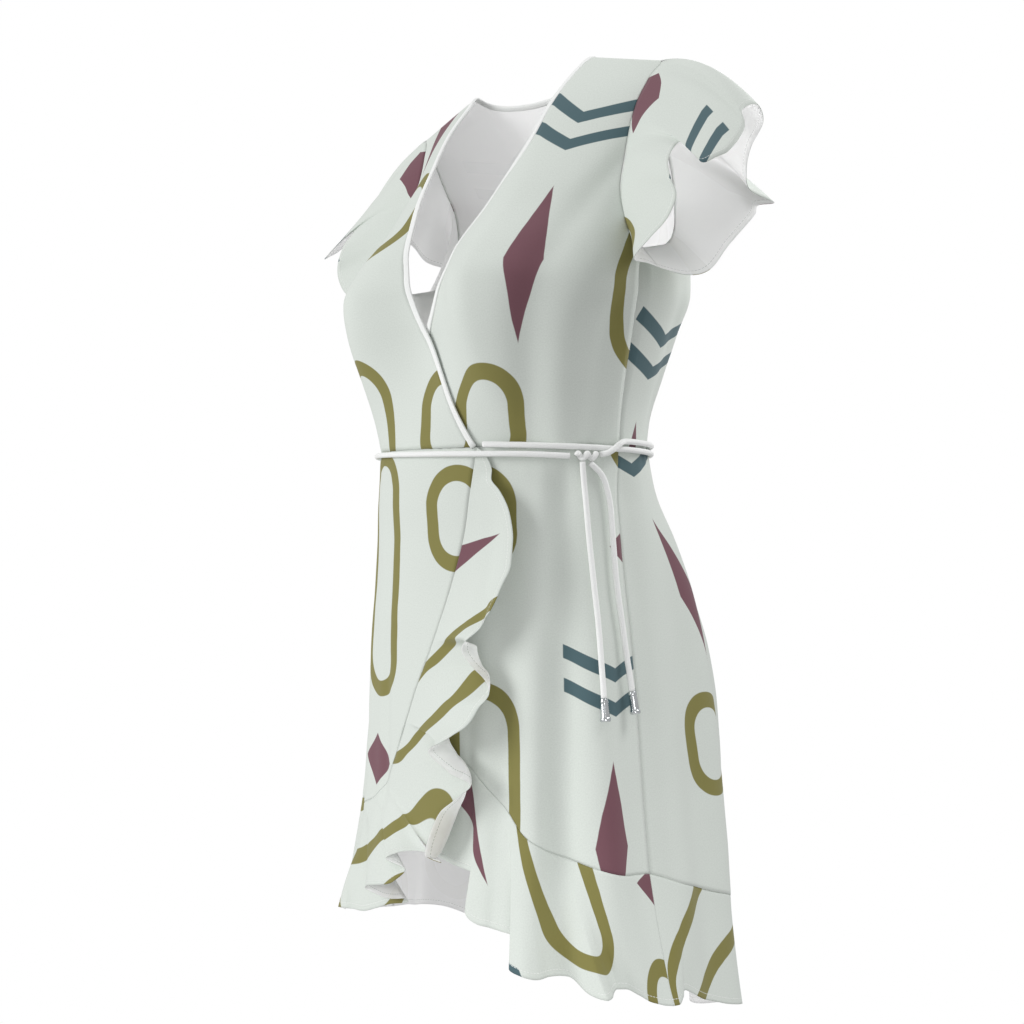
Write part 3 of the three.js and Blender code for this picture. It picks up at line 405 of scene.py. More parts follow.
def cloth_finish(name, inside):
    """Matte crepe: printed on its outside, and white and lit through on its inside."""
    f = Finish(name)
    height, stitch = crepe_height(f)
    flat, _, _ = f.map("cut")
    mottle = f.noise(flat, MOTTLE_SCALE, 3.0, 0.7)
    if inside:
        ground = f.blend(mottle, colour("#fbfcfa"), colour("#ffffff"))
        shown = f.blend(SHOWS_INSIDE, ground, printed_colour(f, colour("#ffffff")))
    else:
        ground = f.blend(mottle, *(colour(GROUND, lift) for lift in GROUND_MOTTLE))
        shown = printed_colour(f, ground)
    thread = colour("#b3b6b2" if inside else "#f2f4f1")
    shown = f.blend(f.math("MULTIPLY", stitch, THREAD_SHOWS), shown, thread)
    f.plug(f.shader.inputs["Base Color"], shown)
    f.surface(CREPE_ROUGHNESS, Specular_IOR_Level=0.25, Sheen_Weight=0.12, Sheen_Roughness=0.5)
    if inside:
        f.surface(CREPE_ROUGHNESS, Subsurface_Weight=SEE_THROUGH, Subsurface_Scale=LIGHT_SPREAD)
        f.shader.inputs["Subsurface Radius"].default_value = (1, 1, 1)
    f.bump(height, GRAIN_DEPTH, 0.6)
    return f.material


printed = cloth_finish("printed_crepe_outside", False)
inside_white = cloth_finish("printed_crepe_inside", True)


FAR_FROM_HEM = 500


def cloth(node, points, cut, flip, hem=None, flat=None):
    """One panel: a grid of points with its flat maps, given the cloth's thickness, for a CAD node."""
    name = node + "_cloth"
    if hem is None:
        hem = np.full(cut.shape, FAR_FROM_HEM, float)
    rows, columns, _ = points.shape
    index = np.arange(rows * columns).reshape(rows, columns)
    faces = np.stack([index[:-1, :-1], index[1:, :-1], index[1:, 1:], index[:-1, 1:]], -1).reshape(-1, 4)
    if flip:
        faces = faces[:, ::-1]
    mesh = bpy.data.meshes.new(name)
    mesh.from_pydata((points.reshape(-1, 3) * MM).tolist(), [], faces.tolist())
    corners = np.zeros(len(mesh.loops), int)
    mesh.loops.foreach_get("vertex_index", corners)
    for label, values in (("cut", cut), ("hem", hem)):
        layer = mesh.uv_layers.new(name=label)
        layer.data.foreach_set("uv", (values.reshape(-1, 2)[corners] * MM).ravel())
    mesh.polygons.foreach_set("use_smooth", [True] * len(faces))
    mesh.update()
    panel = bpy.data.objects.new(name, mesh)
    bpy.context.scene.collection.objects.link(panel)
    for material in (printed, inside_white):
        mesh.materials.append(material)
    shell = panel.modifiers.new("thickness", "SOLIDIFY")
    shell.thickness = CLOTH * MM
    shell.offset = -1
    shell.material_offset = 1
    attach(panel, "root")
    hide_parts(node)
    if flat is None:
        flat = cut.reshape(-1, 2).max(0) - cut.reshape(-1, 2).min(0)


def edge_angle(level, side):
    """Angle of a front's finished edge; side is 1 for the left front and -1 for the right front."""
    x = FRONT_EDGE["x"](level)
    share = abs(x) / BODICE["half"](level)
    return side * np.sign(x) * np.arcsin(share ** (BODICE["square_front"](level) / 2))


def inside_edge(level, side, inside):
    """Angle of the line that lies so many mm behind a front's finished edge."""
    angle = edge_angle(level, side)
    upper = np.minimum(0, level + 0.5)
    lower = level - 0.5
    along = on_bodice(upper, edge_angle(upper, side)) - on_bodice(lower, edge_angle(lower, side))
    across = unit(np.cross(along, outward(on_bodice, level, angle)))
    rate = abs((run_per_radian(on_bodice, level, angle) * across).sum(-1))
    return angle + side * inside / rate


def bodice_lap(level, angle):
    """How far the left front sinks behind the right one's edge."""
    beyond = np.degrees(angle - edge_angle(level, -1))
    return LAP * (1 - fade(beyond, *BODICE_LAP_ENDS))


RUMPLE_FROM = (30, 120)  # mm below the shoulder over which it sets in
SLOW_RUMPLE = (31, 57, 47, 39)  # lengths of its slow waves and then its fine ones, in mm
FINE_RUMPLE = (13, 23, 17, 15)
FINE_SHARE = 0.35


def rumple(points, depth=0.7):
    """Slow, shallow unevenness of cloth that isn't pulled quite flat, in mm."""
    x, y, z = np.moveaxis(points, -1, 0)
    a, b, c, d = SLOW_RUMPLE
    slow = np.sin(x / a + 1.3 * np.sin(z / b)) * np.sin(z / c + y / d)
    a, b, c, d = FINE_RUMPLE
    fine = np.sin(x / a + z / b + 0.8) * np.sin(z / c - y / d)
    return depth * (slow + FINE_SHARE * fine)


# Soft folds of the bodice: depth, width in degrees, and their line as (level, degrees).
BODICE_FOLDS = (
    (-4, 7, ((-90, 74), (-150, 63), (-250, 53), (-330, 51), (-380, 50))),
    (2.5, 7, ((-110, 88), (-190, 78), (-270, 66), (-380, 62))),
    (-3, 5, ((-205, 92), (-260, 84), (-330, 79), (-380, 75))),
    (-3.2, 6, ((-200, -86), (-280, -70), (-380, -60))),
    (-2.6, 5, ((-90, -72), (-170, -58), (-300, -46), (-380, -44))),
    (-3, 7, ((-210, 112), (-300, 118), (-380, 122))),
    (-3, 7, ((-210, 248), (-300, 242), (-380, 238))),
    (-2.5, 8, ((-150, 160), (-260, 166), (-380, 168))),
    (-2.5, 8, ((-150, 200), (-260, 196), (-380, 190))),
)
FOLD_TOP = (-25, 30)  # mm round a fold's top over which it begins
FOLD_FOOT = 30


def soft_folds(folds, level, angle):
    """Relief of soft folds, in mm. A fold that ends above the waist dies out there."""
    total = 0 * level * angle
    turn = np.degrees(angle)
    for depth, width, line in folds:
        top, foot = line[0][0], line[-1][0]
        away = (turn - table("level turn", line)["turn"](level) + 180) % 360 - 180
        ends = fade(-level, -top + FOLD_TOP[0], -top + FOLD_TOP[1])
        if foot > WAIST:
            ends = ends * (1 - fade(-level, -foot - FOLD_FOOT, -foot))
        total = total + depth * ends * np.exp(-((away / width) ** 2))
    return total


YOKE_ROWS = 45
YOKE_CROWDING = 1.7
RIB_ROWS = 40
WAIST_GAP = 0.15
yoke = UNDERARM * np.linspace(0, 1, YOKE_ROWS)[:-1] ** YOKE_CROWDING
bodice_levels = np.concatenate([yoke, np.linspace(UNDERARM, WAIST + WAIST_GAP, RIB_ROWS)])[:, None]
COLUMNS = 60
PRINT_CENTRE = 52
PRINT_SHIFT = 110


def seam_sink(shape, columns):
    """Dips along a panel's top and bottom seams, and along its seams at the given columns."""
    sink = np.zeros(shape)
    sink[[0, -1]] = SEAM_DIP
    sink[:, columns] = SEAM_DIP
    return sink


for side, name in ((-1, "bodice_front_right"), (1, "bodice_front_left")):
    start = inside_edge(bodice_levels, side, BINDING_WIDTH - UNDER_BINDING)
    armhole = np.radians(ARMHOLE["front"](bodice_levels))
    end = side * np.where(bodice_levels >= UNDERARM, armhole, math.pi / 2)
    angle = lerp(start, end, np.linspace(0, 1, COLUMNS)[None, :])
    level = bodice_levels + 0 * angle
    points = on_bodice(level, angle)
    lift = soft_folds(BODICE_FOLDS, level, angle) + rumple(points) * fade(-level, *RUMPLE_FROM)
    if side > 0:
        lift = lift - bodice_lap(level, angle)
    lift = lift - seam_sink(level.shape, [-1])
    points = points + outward(on_bodice, level, angle) * lift[..., None]
    across = run_round(on_bodice, level, side * math.radians(PRINT_CENTRE), angle)
    cut = np.stack([across + side * PRINT_SHIFT, level], -1)
    cloth(name, points, cut, side < 0)

BACK_NECK_DROP = 16
BACK_DIP_FADE = 130
NECK_COLUMNS = 41
SHOULDER_COLUMNS = 21


def back_neck(turn, inside):
    """(level, angle) on the back neck, turn 0 at the left side neck point and pi at the right one."""
    x = (NECK_SIDE + inside) * np.cos(turn)
    level = -(BACK_NECK_DROP + inside) * np.sin(turn)
    return level, math.pi - np.arcsin(x / BODICE["half"](level))


reach = np.where(bodice_levels >= UNDERARM, np.radians(ARMHOLE["back"](bodice_levels)), math.pi / 2)
across_neck = np.linspace(0, math.pi, NECK_COLUMNS)[None, :]
neck_level, neck_angle = back_neck(across_neck, BINDING_WIDTH - UNDER_BINDING)
corner = math.pi - neck_angle[0, 0]
shoulder = math.pi - lerp(reach, corner, np.linspace(0, 1, SHOULDER_COLUMNS)[None, :-1])
angle = np.hstack([shoulder, neck_angle + 0 * bodice_levels, 2 * math.pi - shoulder[:, ::-1]])
dip = np.maximum(0, 1 + bodice_levels / BACK_DIP_FADE) ** 2
beside = bodice_levels + 0 * shoulder
level = np.hstack([beside, bodice_levels + neck_level * dip, beside])
points = on_bodice(level, angle)
lift = soft_folds(BODICE_FOLDS, level, angle) + rumple(points) * fade(-level, *RUMPLE_FROM)
lift = lift - seam_sink(level.shape, [0, -1])
points = points + outward(on_bodice, level, angle) * lift[..., None]
cut = np.stack([run_round(on_bodice, level, math.pi + 0 * angle, angle), level], -1)
cloth("bodice_back", points, cut, False)

# ------------------------------------------------------------------ neck binding
# A white bias strip folded over the cut edge, from the right front's waist corner up, round the back
# neck, and down to the left front's waist corner, stitched close to its inner edge.
WEAVE_SCALE = 900.0
WEAVE_DEPTH = 0.0004
white = Finish("white_binding")
flat, _, _ = white.map("cut")
weave = white.noise(flat, WEAVE_SCALE)
white.plug(white.shader.inputs["Base Color"], white.blend(weave, colour("#eceeec"), colour("#fbfcfb")))
white.surface(0.8, Specular_IOR_Level=0.3, Sheen_Weight=0.1)
white.bump(weave, WEAVE_DEPTH, 0.5)
ROUND_STEP = 1.2  # mm of the flat map from one side of a strip's section to the next


def strip(name, rings, lengths, material):
    """A closed solid swept through rings of points, its length along the second map coordinate."""
    count, sides, _ = rings.shape
    index = np.arange(count * sides).reshape(count, sides)
    after = np.roll(index, -1, axis=1)
    faces = np.stack([index[:-1], after[:-1], after[1:], index[1:]], -1).reshape(-1, 4).tolist()
    faces += [index[0, ::-1].tolist(), index[-1].tolist()]
    mesh = bpy.data.meshes.new(name)
    mesh.from_pydata((rings.reshape(-1, 3) * MM).tolist(), [], faces)
    layer = mesh.uv_layers.new(name="cut")
    corners = np.zeros(len(mesh.loops), int)
    mesh.loops.foreach_get("vertex_index", corners)
    around = np.arange(sides) * ROUND_STEP
    values = np.stack(np.broadcast_arrays(around[None, :], lengths[:, None]), -1).reshape(-1, 2)
    layer.data.foreach_set("uv", (values[corners] * MM).ravel())
    mesh.polygons.foreach_set("use_smooth", [True] * len(faces))
    mesh.materials.append(material)
    mesh.update()
    piece = bpy.data.objects.new(name, mesh)
    bpy.context.scene.collection.objects.link(piece)
    return piece


def lengths_of(points):
    return np.concatenate([[0], np.cumsum(np.linalg.norm(np.diff(points, axis=0), axis=-1))])


NECK_STATIONS = 61
BINDING_SINK = 0.5
levels = bodice_levels[:, 0]
half_width = BINDING_WIDTH / 2
places = []
for level_list, side in ((levels[::-1], -1), (levels, 1)):
    angle = inside_edge(level_list, side, half_width)
    normal = outward(on_bodice, level_list, angle)
    lap = bodice_lap(level_list, angle) if side > 0 else 0 * level_list
    places.append((on_bodice(level_list, angle) - normal * lap[:, None], normal))
turn = np.linspace(math.pi, 0, NECK_STATIONS)[1:-1]
back_level, back_angle = back_neck(turn, half_width)
places.insert(1, (on_bodice(back_level, back_angle), outward(on_bodice, back_level, back_angle)))
middle = np.vstack([place[0] for place in places])
normal = np.vstack([place[1] for place in places])
direction = unit(np.gradient(middle, axis=0))
across = unit(np.cross(direction, normal))
# Section of the binding: mm across it and off its middle, with a groove where it is stitched.
SECTION = [
    (-3, 0), (-2.8, 0.8), (-2, 1.15), (-0.6, 1.2), (1, 1.2), (1.7, 0.95), (2, 1.15), (2.7, 0.9), (3, 0),
    (2.7, -1), (1, -1.2), (-2, -1.2), (-2.8, -0.8),
]
rings = np.stack([middle + across * aside - normal * (BINDING_SINK - off) for aside, off in SECTION], 1)
binding = strip("neck_binding_strip", rings, lengths_of(middle), white.material)
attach(binding, "root")
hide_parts("neck_binding")

# ------------------------------------------------------------------ sleeves
# Short flutter sleeves: one flared ring of printed crepe each, sewn into the armhole, open below,
# with a narrow stitched hem.
# The hem: station (0 at the shoulder point, 1 at the underarm, 2 back again), then x, y and level.
SLEEVE_HEM = np.array([
    (0, 282, 40, -86), (0.07, 284, 18, -96), (0.13, 292, 12, -113), (0.2, 297, -11, -136),
    (0.28, 294, -26, -145), (0.36, 286, -37, -149), (0.41, 270, -30, -135), (0.46, 250, -23, -123),
    (0.52, 249, -36, -139), (0.58, 255, -40, -156), (0.65, 260, -38, -173), (0.72, 250, -38, -190),
    (0.8, 229, -38, -204), (0.88, 205, -33, -218), (0.95, 202, -13, -219), (1.02, 206, 3, -223),
    (1.1, 215, 24, -227), (1.2, 223, 45, -221), (1.3, 231, 61, -199), (1.42, 241, 85, -170),
    (1.52, 237, 95, -159), (1.6, 241, 113, -154), (1.68, 244, 76, -148), (1.76, 251, 63, -132),
    (1.84, 263, 55, -117), (1.93, 276, 56, -96),
])
SLEEVE_RISE = 28
SLEEVE_AROUND = 241
SLEEVE_DOWN = 25
SLEEVE_RUMPLE = 0.5
SLEEVE_PRINT_SHIFT = 60


def round_curve(stations, values, period):
    """A closed smooth curve through values at their stations."""
    stations = np.concatenate([stations[-2:] - period, stations, stations[:3] + period])
    values = np.concatenate([values[-2:], values, values[:3]])
    tangent = np.gradient(values, stations, axis=0)

    def value(at):
        at = np.asarray(at) % period
        i = np.searchsorted(stations, at, side="right") - 1
        h = (stations[i + 1] - stations[i])[..., None]
        t = (at - stations[i])[..., None] / h
        ends = values[i] * (1 + 2 * t) * (1 - t) ** 2 + values[i + 1] * t * t * (3 - 2 * t)
        return ends + h * tangent[i] * t * (1 - t) ** 2 + h * tangent[i + 1] * t * t * (t - 1)

    return value


ARMHOLE_LEVELS = np.array([0, -8, -20, -45, -75, -105, -135, -160, -180, -193, -200], float)
hem_curve = round_curve(SLEEVE_HEM[:, 0], SLEEVE_HEM[:, 1:], 2)


def armhole_point(station, side):
    """Point of the armhole seam by its station, down the front and up the back."""
    station = np.asarray(station) % 2
    count = len(ARMHOLE_LEVELS) - 1
    row = np.where(station <= 1, station, 2 - station) * count
    whole = np.minimum(np.floor(row).astype(int), count - 1)
    level = lerp(ARMHOLE_LEVELS[whole], ARMHOLE_LEVELS[whole + 1], row - whole)
    front = np.radians(ARMHOLE["front"](level))
    back = math.pi - np.radians(ARMHOLE["back"](level))
    angle = np.where(station <= 1, front, back)
    return on_bodice(level, side * angle)


def grid_normals(points, facing):
    return facing * unit(np.cross(np.gradient(points, axis=1), np.gradient(points, axis=0)))


for side, name in ((1, "sleeve_left"), (-1, "sleeve_right")):
    station = np.linspace(1, 3, SLEEVE_AROUND)
    armhole = armhole_point(station, side)
    end = hem_curve(station) * (side, 1, 1)
    middle = lerp(armhole, end, 0.5)
    middle[:, 2] += SLEEVE_RISE * (1 + np.cos(math.pi * station)) / 2
    t = np.linspace(0, 1, SLEEVE_DOWN)[:, None, None]
    points = armhole * (1 - t) ** 2 + middle * 2 * t * (1 - t) + end * t * t
    points = points + grid_normals(points, side) * (rumple(points, SLEEVE_RUMPLE) * t[..., 0])[..., None]
    length = np.linalg.norm(np.diff(points, axis=0), axis=-1)
    down = np.vstack([0 * station, np.cumsum(length, axis=0)])
    around = lengths_of(points[SLEEVE_DOWN // 2])
    cut = np.stack([around[None, :] - around[-1] / 2 + 0 * down, SLEEVE_PRINT_SHIFT - down], -1)
    hem = np.stack([down[-1] - down, around[None, :] + 0 * down], -1)
    cloth(name, points, cut, side > 0, hem)

# ------------------------------------------------------------------ skirt
# A right front that laps over the left front, and a back, of the same crepe, sewn to the bodice at
# the waist and to each other at the sides. It hangs in soft folds.
RIGHT_SEAM = table(
    "run angle level",
    [
        (0, -35.4, -380), (0.1, -32.5, -418), (0.2, -29, -462), (0.3, -21.5, -512),
        (0.42, -10.3, -566), (0.52, 1, -608), (0.6, 9, -640), (0.7, 22, -686), (0.8, 38, -720),
        (0.88, 53, -736), (0.94, 69, -742), (1, 90, -745),
    ],
)
LEFT_SEAM = table(
    "run angle level",
    [
        (0, -35.4, -380), (0.12, -33, -425), (0.24, -28, -475), (0.34, -20, -525), (0.44, -9, -590),
        (0.52, 5, -636), (0.6, 21, -661), (0.66, 33, -677), (0.7, 39.5, -689), (0.75, 46, -704),
        (0.81, 53, -725), (0.87, 61.5, -740), (0.93, 71.8, -751), (0.98, 83.9, -761), (1, 90, -763),
    ],
)
BACK_SEAM = table(
    "angle level",
    [(90, -763), (120, -800), (150, -838), (180, -850), (210, -838), (240, -792), (270, -745)],
)
SKIRT_CLEAR = table(
    "level angle",
    [
        (-380, 46), (-430, 53), (-480, 55), (-560, 50), (-620, 46), (-700, 42), (-740, 36), (-770, 24),
        (-810, 5), (-860, -20),
    ],
)
SKIRT_LAP_FADE = 24
CORNER_RUN = 0.8


def skirt_lap(level, angle):
    """How far the left front lies behind the right one, until it comes out from under it."""
    clear = SKIRT_CLEAR["angle"](level)
    return LAP * (1 - fade(np.degrees(angle), clear, clear + SKIRT_LAP_FADE))


def on_left_skirt(level, angle):
    return on_skirt(level, angle) - outward(on_skirt, level, angle) * skirt_lap(level, angle)[..., None]


def true_angle(level, even):
    half = SKIRT["half"](level)
    depth = np.where(np.cos(even) >= 0, SKIRT["front"](level), SKIRT["back"](level))
    return np.arctan2(half * np.sin(even), depth * np.cos(even))


def even_angle(level, angle):
    half = SKIRT["half"](level)
    depth = np.where(np.cos(angle) >= 0, SKIRT["front"](level), SKIRT["back"](level))
    return np.arctan2(np.sin(angle) / half, np.cos(angle) / depth)


def seam_place(seam, run):
    """(even angle, level) on a front's flounce seam."""
    angle = np.minimum(np.radians(seam["angle"](run)), math.pi / 2)
    level = seam["level"](run)
    return np.stack([even_angle(level, angle), level], -1)


# Soft folds of the skirt, on top of its waves: depth, width in degrees, and (level, degrees).
SKIRT_FOLDS = (
    (-6, 4.5, ((-395, 69), (-450, 68), (-600, 67), (-760, 65))),
    (2, 4, ((-420, 60), (-600, 58), (-760, 57))),
    (-7, 9, ((-400, 92), (-600, 94), (-800, 93))),
    (3.5, 9, ((-450, 117), (-600, 119), (-850, 122))),
    (-3, 4, ((-400, -28), (-600, -28), (-740, -30))),
    (-2.5, 3, ((-620, 31), (-700, 31), (-790, 30))),
    (-5, 7, ((-400, 151), (-600, 152), (-850, 150))),
    (-5, 8, ((-410, 178), (-600, 177), (-850, 179))),
    (-5, 7, ((-400, 209), (-600, 208), (-850, 210))),
    (-6, 9, ((-400, 268), (-600, 266), (-800, 267))),
    (-5, 5, ((-420, -64), (-600, -62), (-760, -60))),
)


GATHER_DEPTH = 0.5
GATHER_REACH = 16
GATHERS = 61
GATHER_SWELL = 0.6
GATHER_SWELLS = 7
SKIRT_RUMPLE_FROM = (400, 480)


def skirt_lift(points, level, angle):
    """Folds, unevenness and the small gathers that die out below the waist seam, in mm."""
    swell = 1 + GATHER_SWELL * np.sin(GATHER_SWELLS * angle)
    gathers = GATHER_DEPTH * np.exp(-(WAIST - level) / GATHER_REACH) * np.sin(GATHERS * angle) * swell
    below = fade(-level, *SKIRT_RUMPLE_FROM)
    return soft_folds(SKIRT_FOLDS, level, angle) + rumple(points) * below + gathers


SKIRT_ROWS = 110
BACK_COLUMNS = 150
SKIRT_PRINT_CENTRE = 60
SKIRT_PRINT_SHIFT = 125
SKIRT_PRINT_RISE = 90
for side, seam, surface, name in (
    (-1, RIGHT_SEAM, on_skirt, "skirt_front_right"),
    (1, LEFT_SEAM, on_left_skirt, "skirt_front_left"),
):
    v = np.linspace(0, 1, SKIRT_ROWS)[:, None, None]
    u = np.linspace(0, 1, COLUMNS)[None, :, None]
    waist_side = np.array([math.pi / 2, WAIST - WAIST_GAP])
    waist_free, low_free, low_side = seam_place(seam, np.array([0, CORNER_RUN, 1]))
    free = seam_place(seam, CORNER_RUN * v[..., 0])
    low = seam_place(seam, lerp(CORNER_RUN, 1, u[..., 0]))
    across = lerp(free, lerp(waist_side, low_side, v), u)
    along = lerp(lerp(waist_free, waist_side, u), low, v)
    corners = lerp(lerp(waist_free, waist_side, u), lerp(low_free, low_side, u), v)
    even, level = np.moveaxis(across + along - corners, -1, 0)
    angle = side * true_angle(level, even)
    points = surface(level, angle)
    lift = skirt_lift(points, level, angle) - seam_sink(level.shape, [0, -1])
    points = points + outward(on_skirt, level, angle) * lift[..., None]
    across = run_round(on_skirt, level, side * math.radians(SKIRT_PRINT_CENTRE), angle)
    cut = np.stack([across + side * SKIRT_PRINT_SHIFT, level + SKIRT_PRINT_RISE], -1)
    cloth(name, points, cut, side < 0)

v = np.linspace(0, 1, SKIRT_ROWS)[:, None]
angle = np.linspace(math.pi / 2, 1.5 * math.pi, BACK_COLUMNS)[None, :] + 0 * v
level = lerp(WAIST - WAIST_GAP, BACK_SEAM["level"](np.degrees(angle)), v)
points = on_skirt(level, angle)
lift = skirt_lift(points, level, angle) - seam_sink(level.shape, [0, -1])
points = points + outward(on_skirt, level, angle) * lift[..., None]
across = run_round(on_skirt, level, math.pi + 0 * angle, angle)
cut = np.stack([across, level + SKIRT_PRINT_RISE], -1)
cloth("skirt_back", points, cut, False)

# ------------------------------------------------------------------ flounces
# Curved strips of the same crepe, cut on a ring so that their hem is longer than their seam: a
# cascade down the right front's free edge, and a wavy flounce round the hem, with a stitched hem.
RING = 260
RING_START = {"flounce_front_right": 0, "flounce_front_left": 300, "flounce_back": 150}
FLOUNCE_ROWS = 49
FRONT_STATIONS = 801
BACK_STATIONS = 601
MID_STAND = 0.15
MID_STAND_MOST = 4
# The hem, a row wherever a fold turns. stand: off the skirt. bow, drop: degrees and mm that the cloth
# swings aside between seam and hem, where it rolls over and shows its inside.
RIGHT_HEM = table(
    "run angle level stand bow drop",
    [
        (0, -38.8, -385, 0, 0, 0), (0.05, -41.8, -399, 0, 0, 0), (0.09, -42.4, -409, 4, 0, 0),
        (0.13, -46.7, -421, 9, 0, 0), (0.18, -51.1, -441, 15, 0, 0), (0.22, -52.8, -465, 20, 0, 0),
        (0.26, -52.9, -486, 24, 0, 0), (0.31, -51.6, -505, 28, 0, 0), (0.36, -49.3, -529, 32, 0, 0),
        (0.405, -40.2, -548, 32, 0, 0), (0.43, -35.3, -564, 22, -26.2, 11),
        (0.455, -38.1, -578, 18, -25.9, 7), (0.485, -45, -600, 18, -19.9, 29),
        (0.52, -41.5, -612, 26, 0, 0), (0.56, -37.7, -632, 32, 0, 0), (0.595, -30.3, -645, 34, 0, 0),
        (0.622, -20.7, -658, 24, -37.7, 17), (0.645, -29.1, -674, 20, -33.3, 25),
        (0.672, -38.1, -684, 20, -29.1, 30), (0.69, -32.1, -699, 22, -42.9, 7),
        (0.705, -26.7, -711, 24, -48.7, -1), (0.72, -22.6, -732, 24, -47.6, -18),
        (0.735, -19.7, -755, 22, -39.8, -36), (0.75, -25.4, -760, 15, 0, 0),
        (0.765, -12.8, -755, 8, 0, 0), (0.782, -1.9, -759, 14, 0, 0), (0.797, 5.8, -769, 18, 0, 0),
        (0.815, -3.8, -775, 10, 0, 0), (0.832, -0.2, -788, 16, 0, 0), (0.85, 21.5, -802, 9, 0, 0),
        (0.858, 26.2, -807, 2, 0, 0), (0.866, 16.3, -808, -6, 0, 0), (0.875, 5.4, -803, -12, 0, 0),
        (0.882, 5.1, -805, -17, 0, 0), (0.89, 18.8, -814, -19, 0, 0), (0.9, 29.2, -825, -17, 0, 0),
        (0.912, 36.8, -834, -11, 0, 0), (0.924, 41, -836, -4, 0, 0), (0.936, 43.5, -838, 2, 0, 0),
        (0.95, 49, -842, 3, 0, 0), (0.97, 66, -860, 1, 0, 0), (0.985, 78, -869, -4, 0, 0),
        (1, 90, -877, -6, 0, 0),
    ],
)
LEFT_HEM = table(
    "run angle level stand bow drop",
    [
        (0, -38.5, -388, 0, 0, 0), (0.12, -42, -452, 0, 0, 0), (0.24, -43, -520, 0, 0, 0),
        (0.34, -38, -598, 0, 0, 0), (0.44, -21, -690, 0, 0, 0), (0.52, 0, -752, 0, 0, 0),
        (0.6, 24, -761, 1, 0, 0), (0.64, 37, -768, 3, 0, 0), (0.665, 36.6, -795, 14, 0, 0),
        (0.69, 41.4, -807, 17, 0, 0), (0.72, 48.7, -808, 12, 0, 0), (0.75, 54, -812, 4, 0, 0),
        (0.785, 52, -835, 17, 0, 0), (0.8, 53.9, -840, 19, 0, 0), (0.82, 56.5, -843, 15, 0, 0),
        (0.84, 59.4, -842, 7, 0, 0), (0.86, 65.2, -843, 4, 0, 0),
        (0.88, 70.6, -854, 15, 0, 0), (0.895, 73.4, -857, 19, 0, 0), (0.905, 74.2, -856, 12, 0, 0),
        (0.915, 74.6, -854, 2, 0, 0), (0.925, 75.6, -852, -4, 0, 0), (0.94, 78.5, -853, -3, 0, 0),
        (0.955, 80.6, -859, 3, 0, 0), (0.97, 82.5, -866, 10, 0, 0), (0.985, 86.2, -871, 14, 0, 0),
        (1, 90, -873, 15, 0, 0),
    ],
)
# Hem of the back flounce: the angle of its seam, and the angle, level and stand of the hem below it.
BACK_HEM = table(
    "seam angle level stand",
    [
        (90, 90, -873, 15), (93, 91.8, -873, 13), (96, 93.8, -869, 4), (99, 95.8, -866, -6),
        (103, 100, -871, -9), (109, 106.6, -885, -3), (117, 115, -898, 4), (128, 129, -915, 3),
        (138, 139, -927, 0), (150, 150, -944, 9), (163, 163, -957, -6), (176, 176, -961, 9),
        (189, 189, -960, -6), (202, 202, -951, 9), (215, 215, -939, -6), (228, 228, -924, 8),
        (240, 241, -903, -4), (250, 251, -891, 2), (256, 257.5, -886, -1), (261, 262, -881, -9),
        (265, 265.5, -878, -9), (270, 270, -877, -6),
    ],
)


def flounce(name, points, facing):
    """A flounce from its rows of points, seam first, with its ring-shaped cut."""
    length = np.linalg.norm(np.diff(points, axis=0), axis=-1)
    down = np.vstack([np.zeros(points.shape[1]), np.cumsum(length, axis=0)])
    along = lengths_of(points[0])[None, :]
    turn = (along + RING_START[name]) / RING
    cut = np.stack([(RING + down) * np.sin(turn), -(RING + down) * np.cos(turn)], -1)
    hem = np.stack([down[-1] - down, lengths_of(points[-1])[None, :] + 0 * down], -1)
    cloth(name, points, cut, facing < 0, hem, (lengths_of(points[-1])[-1], down[-1].max()))


def stand_at(t, hem_stand):
    """How far a flounce stands off the skirt a share t of the way down to its hem."""
    middle = np.minimum(MID_STAND * hem_stand, MID_STAND_MOST)
    return hem_stand * t**2 + middle * 2 * t * (1 - t) - SEAM_DIP * (t == 0)


t = np.linspace(0, 1, FLOUNCE_ROWS)[:, None]
bend = 2 * t * (1 - t)
run = np.linspace(0, 1, FRONT_STATIONS)[None, :]
for side, seam, hem, surface, name in (
    (-1, RIGHT_SEAM, RIGHT_HEM, on_skirt, "flounce_front_right"),
    (1, LEFT_SEAM, LEFT_HEM, on_left_skirt, "flounce_front_left"),
):
    end = {column: curve(run) for column, curve in hem.items()}
    level = lerp(seam["level"](run), end["level"], t) + bend * end["drop"]
    angle = side * np.radians(lerp(seam["angle"](run), end["angle"], t) + bend * end["bow"])
    height = stand_at(t, end["stand"]) + soft_folds(SKIRT_FOLDS, level, angle) * (1 - t)
    points = surface(level, angle) + outward(on_skirt, level, angle) * height[..., None]
    flounce(name, points, side)

start = np.linspace(90, 270, BACK_STATIONS)[None, :]
level = lerp(BACK_SEAM["level"](start), BACK_HEM["level"](start), t)
angle = np.radians(lerp(start, BACK_HEM["angle"](start), t))
height = stand_at(t, BACK_HEM["stand"](start)) + soft_folds(SKIRT_FOLDS, level, angle) * (1 - t)
points = on_skirt(level, angle) + outward(on_skirt, level, angle) * height[..., None]
flounce("flounce_back", points, 1)

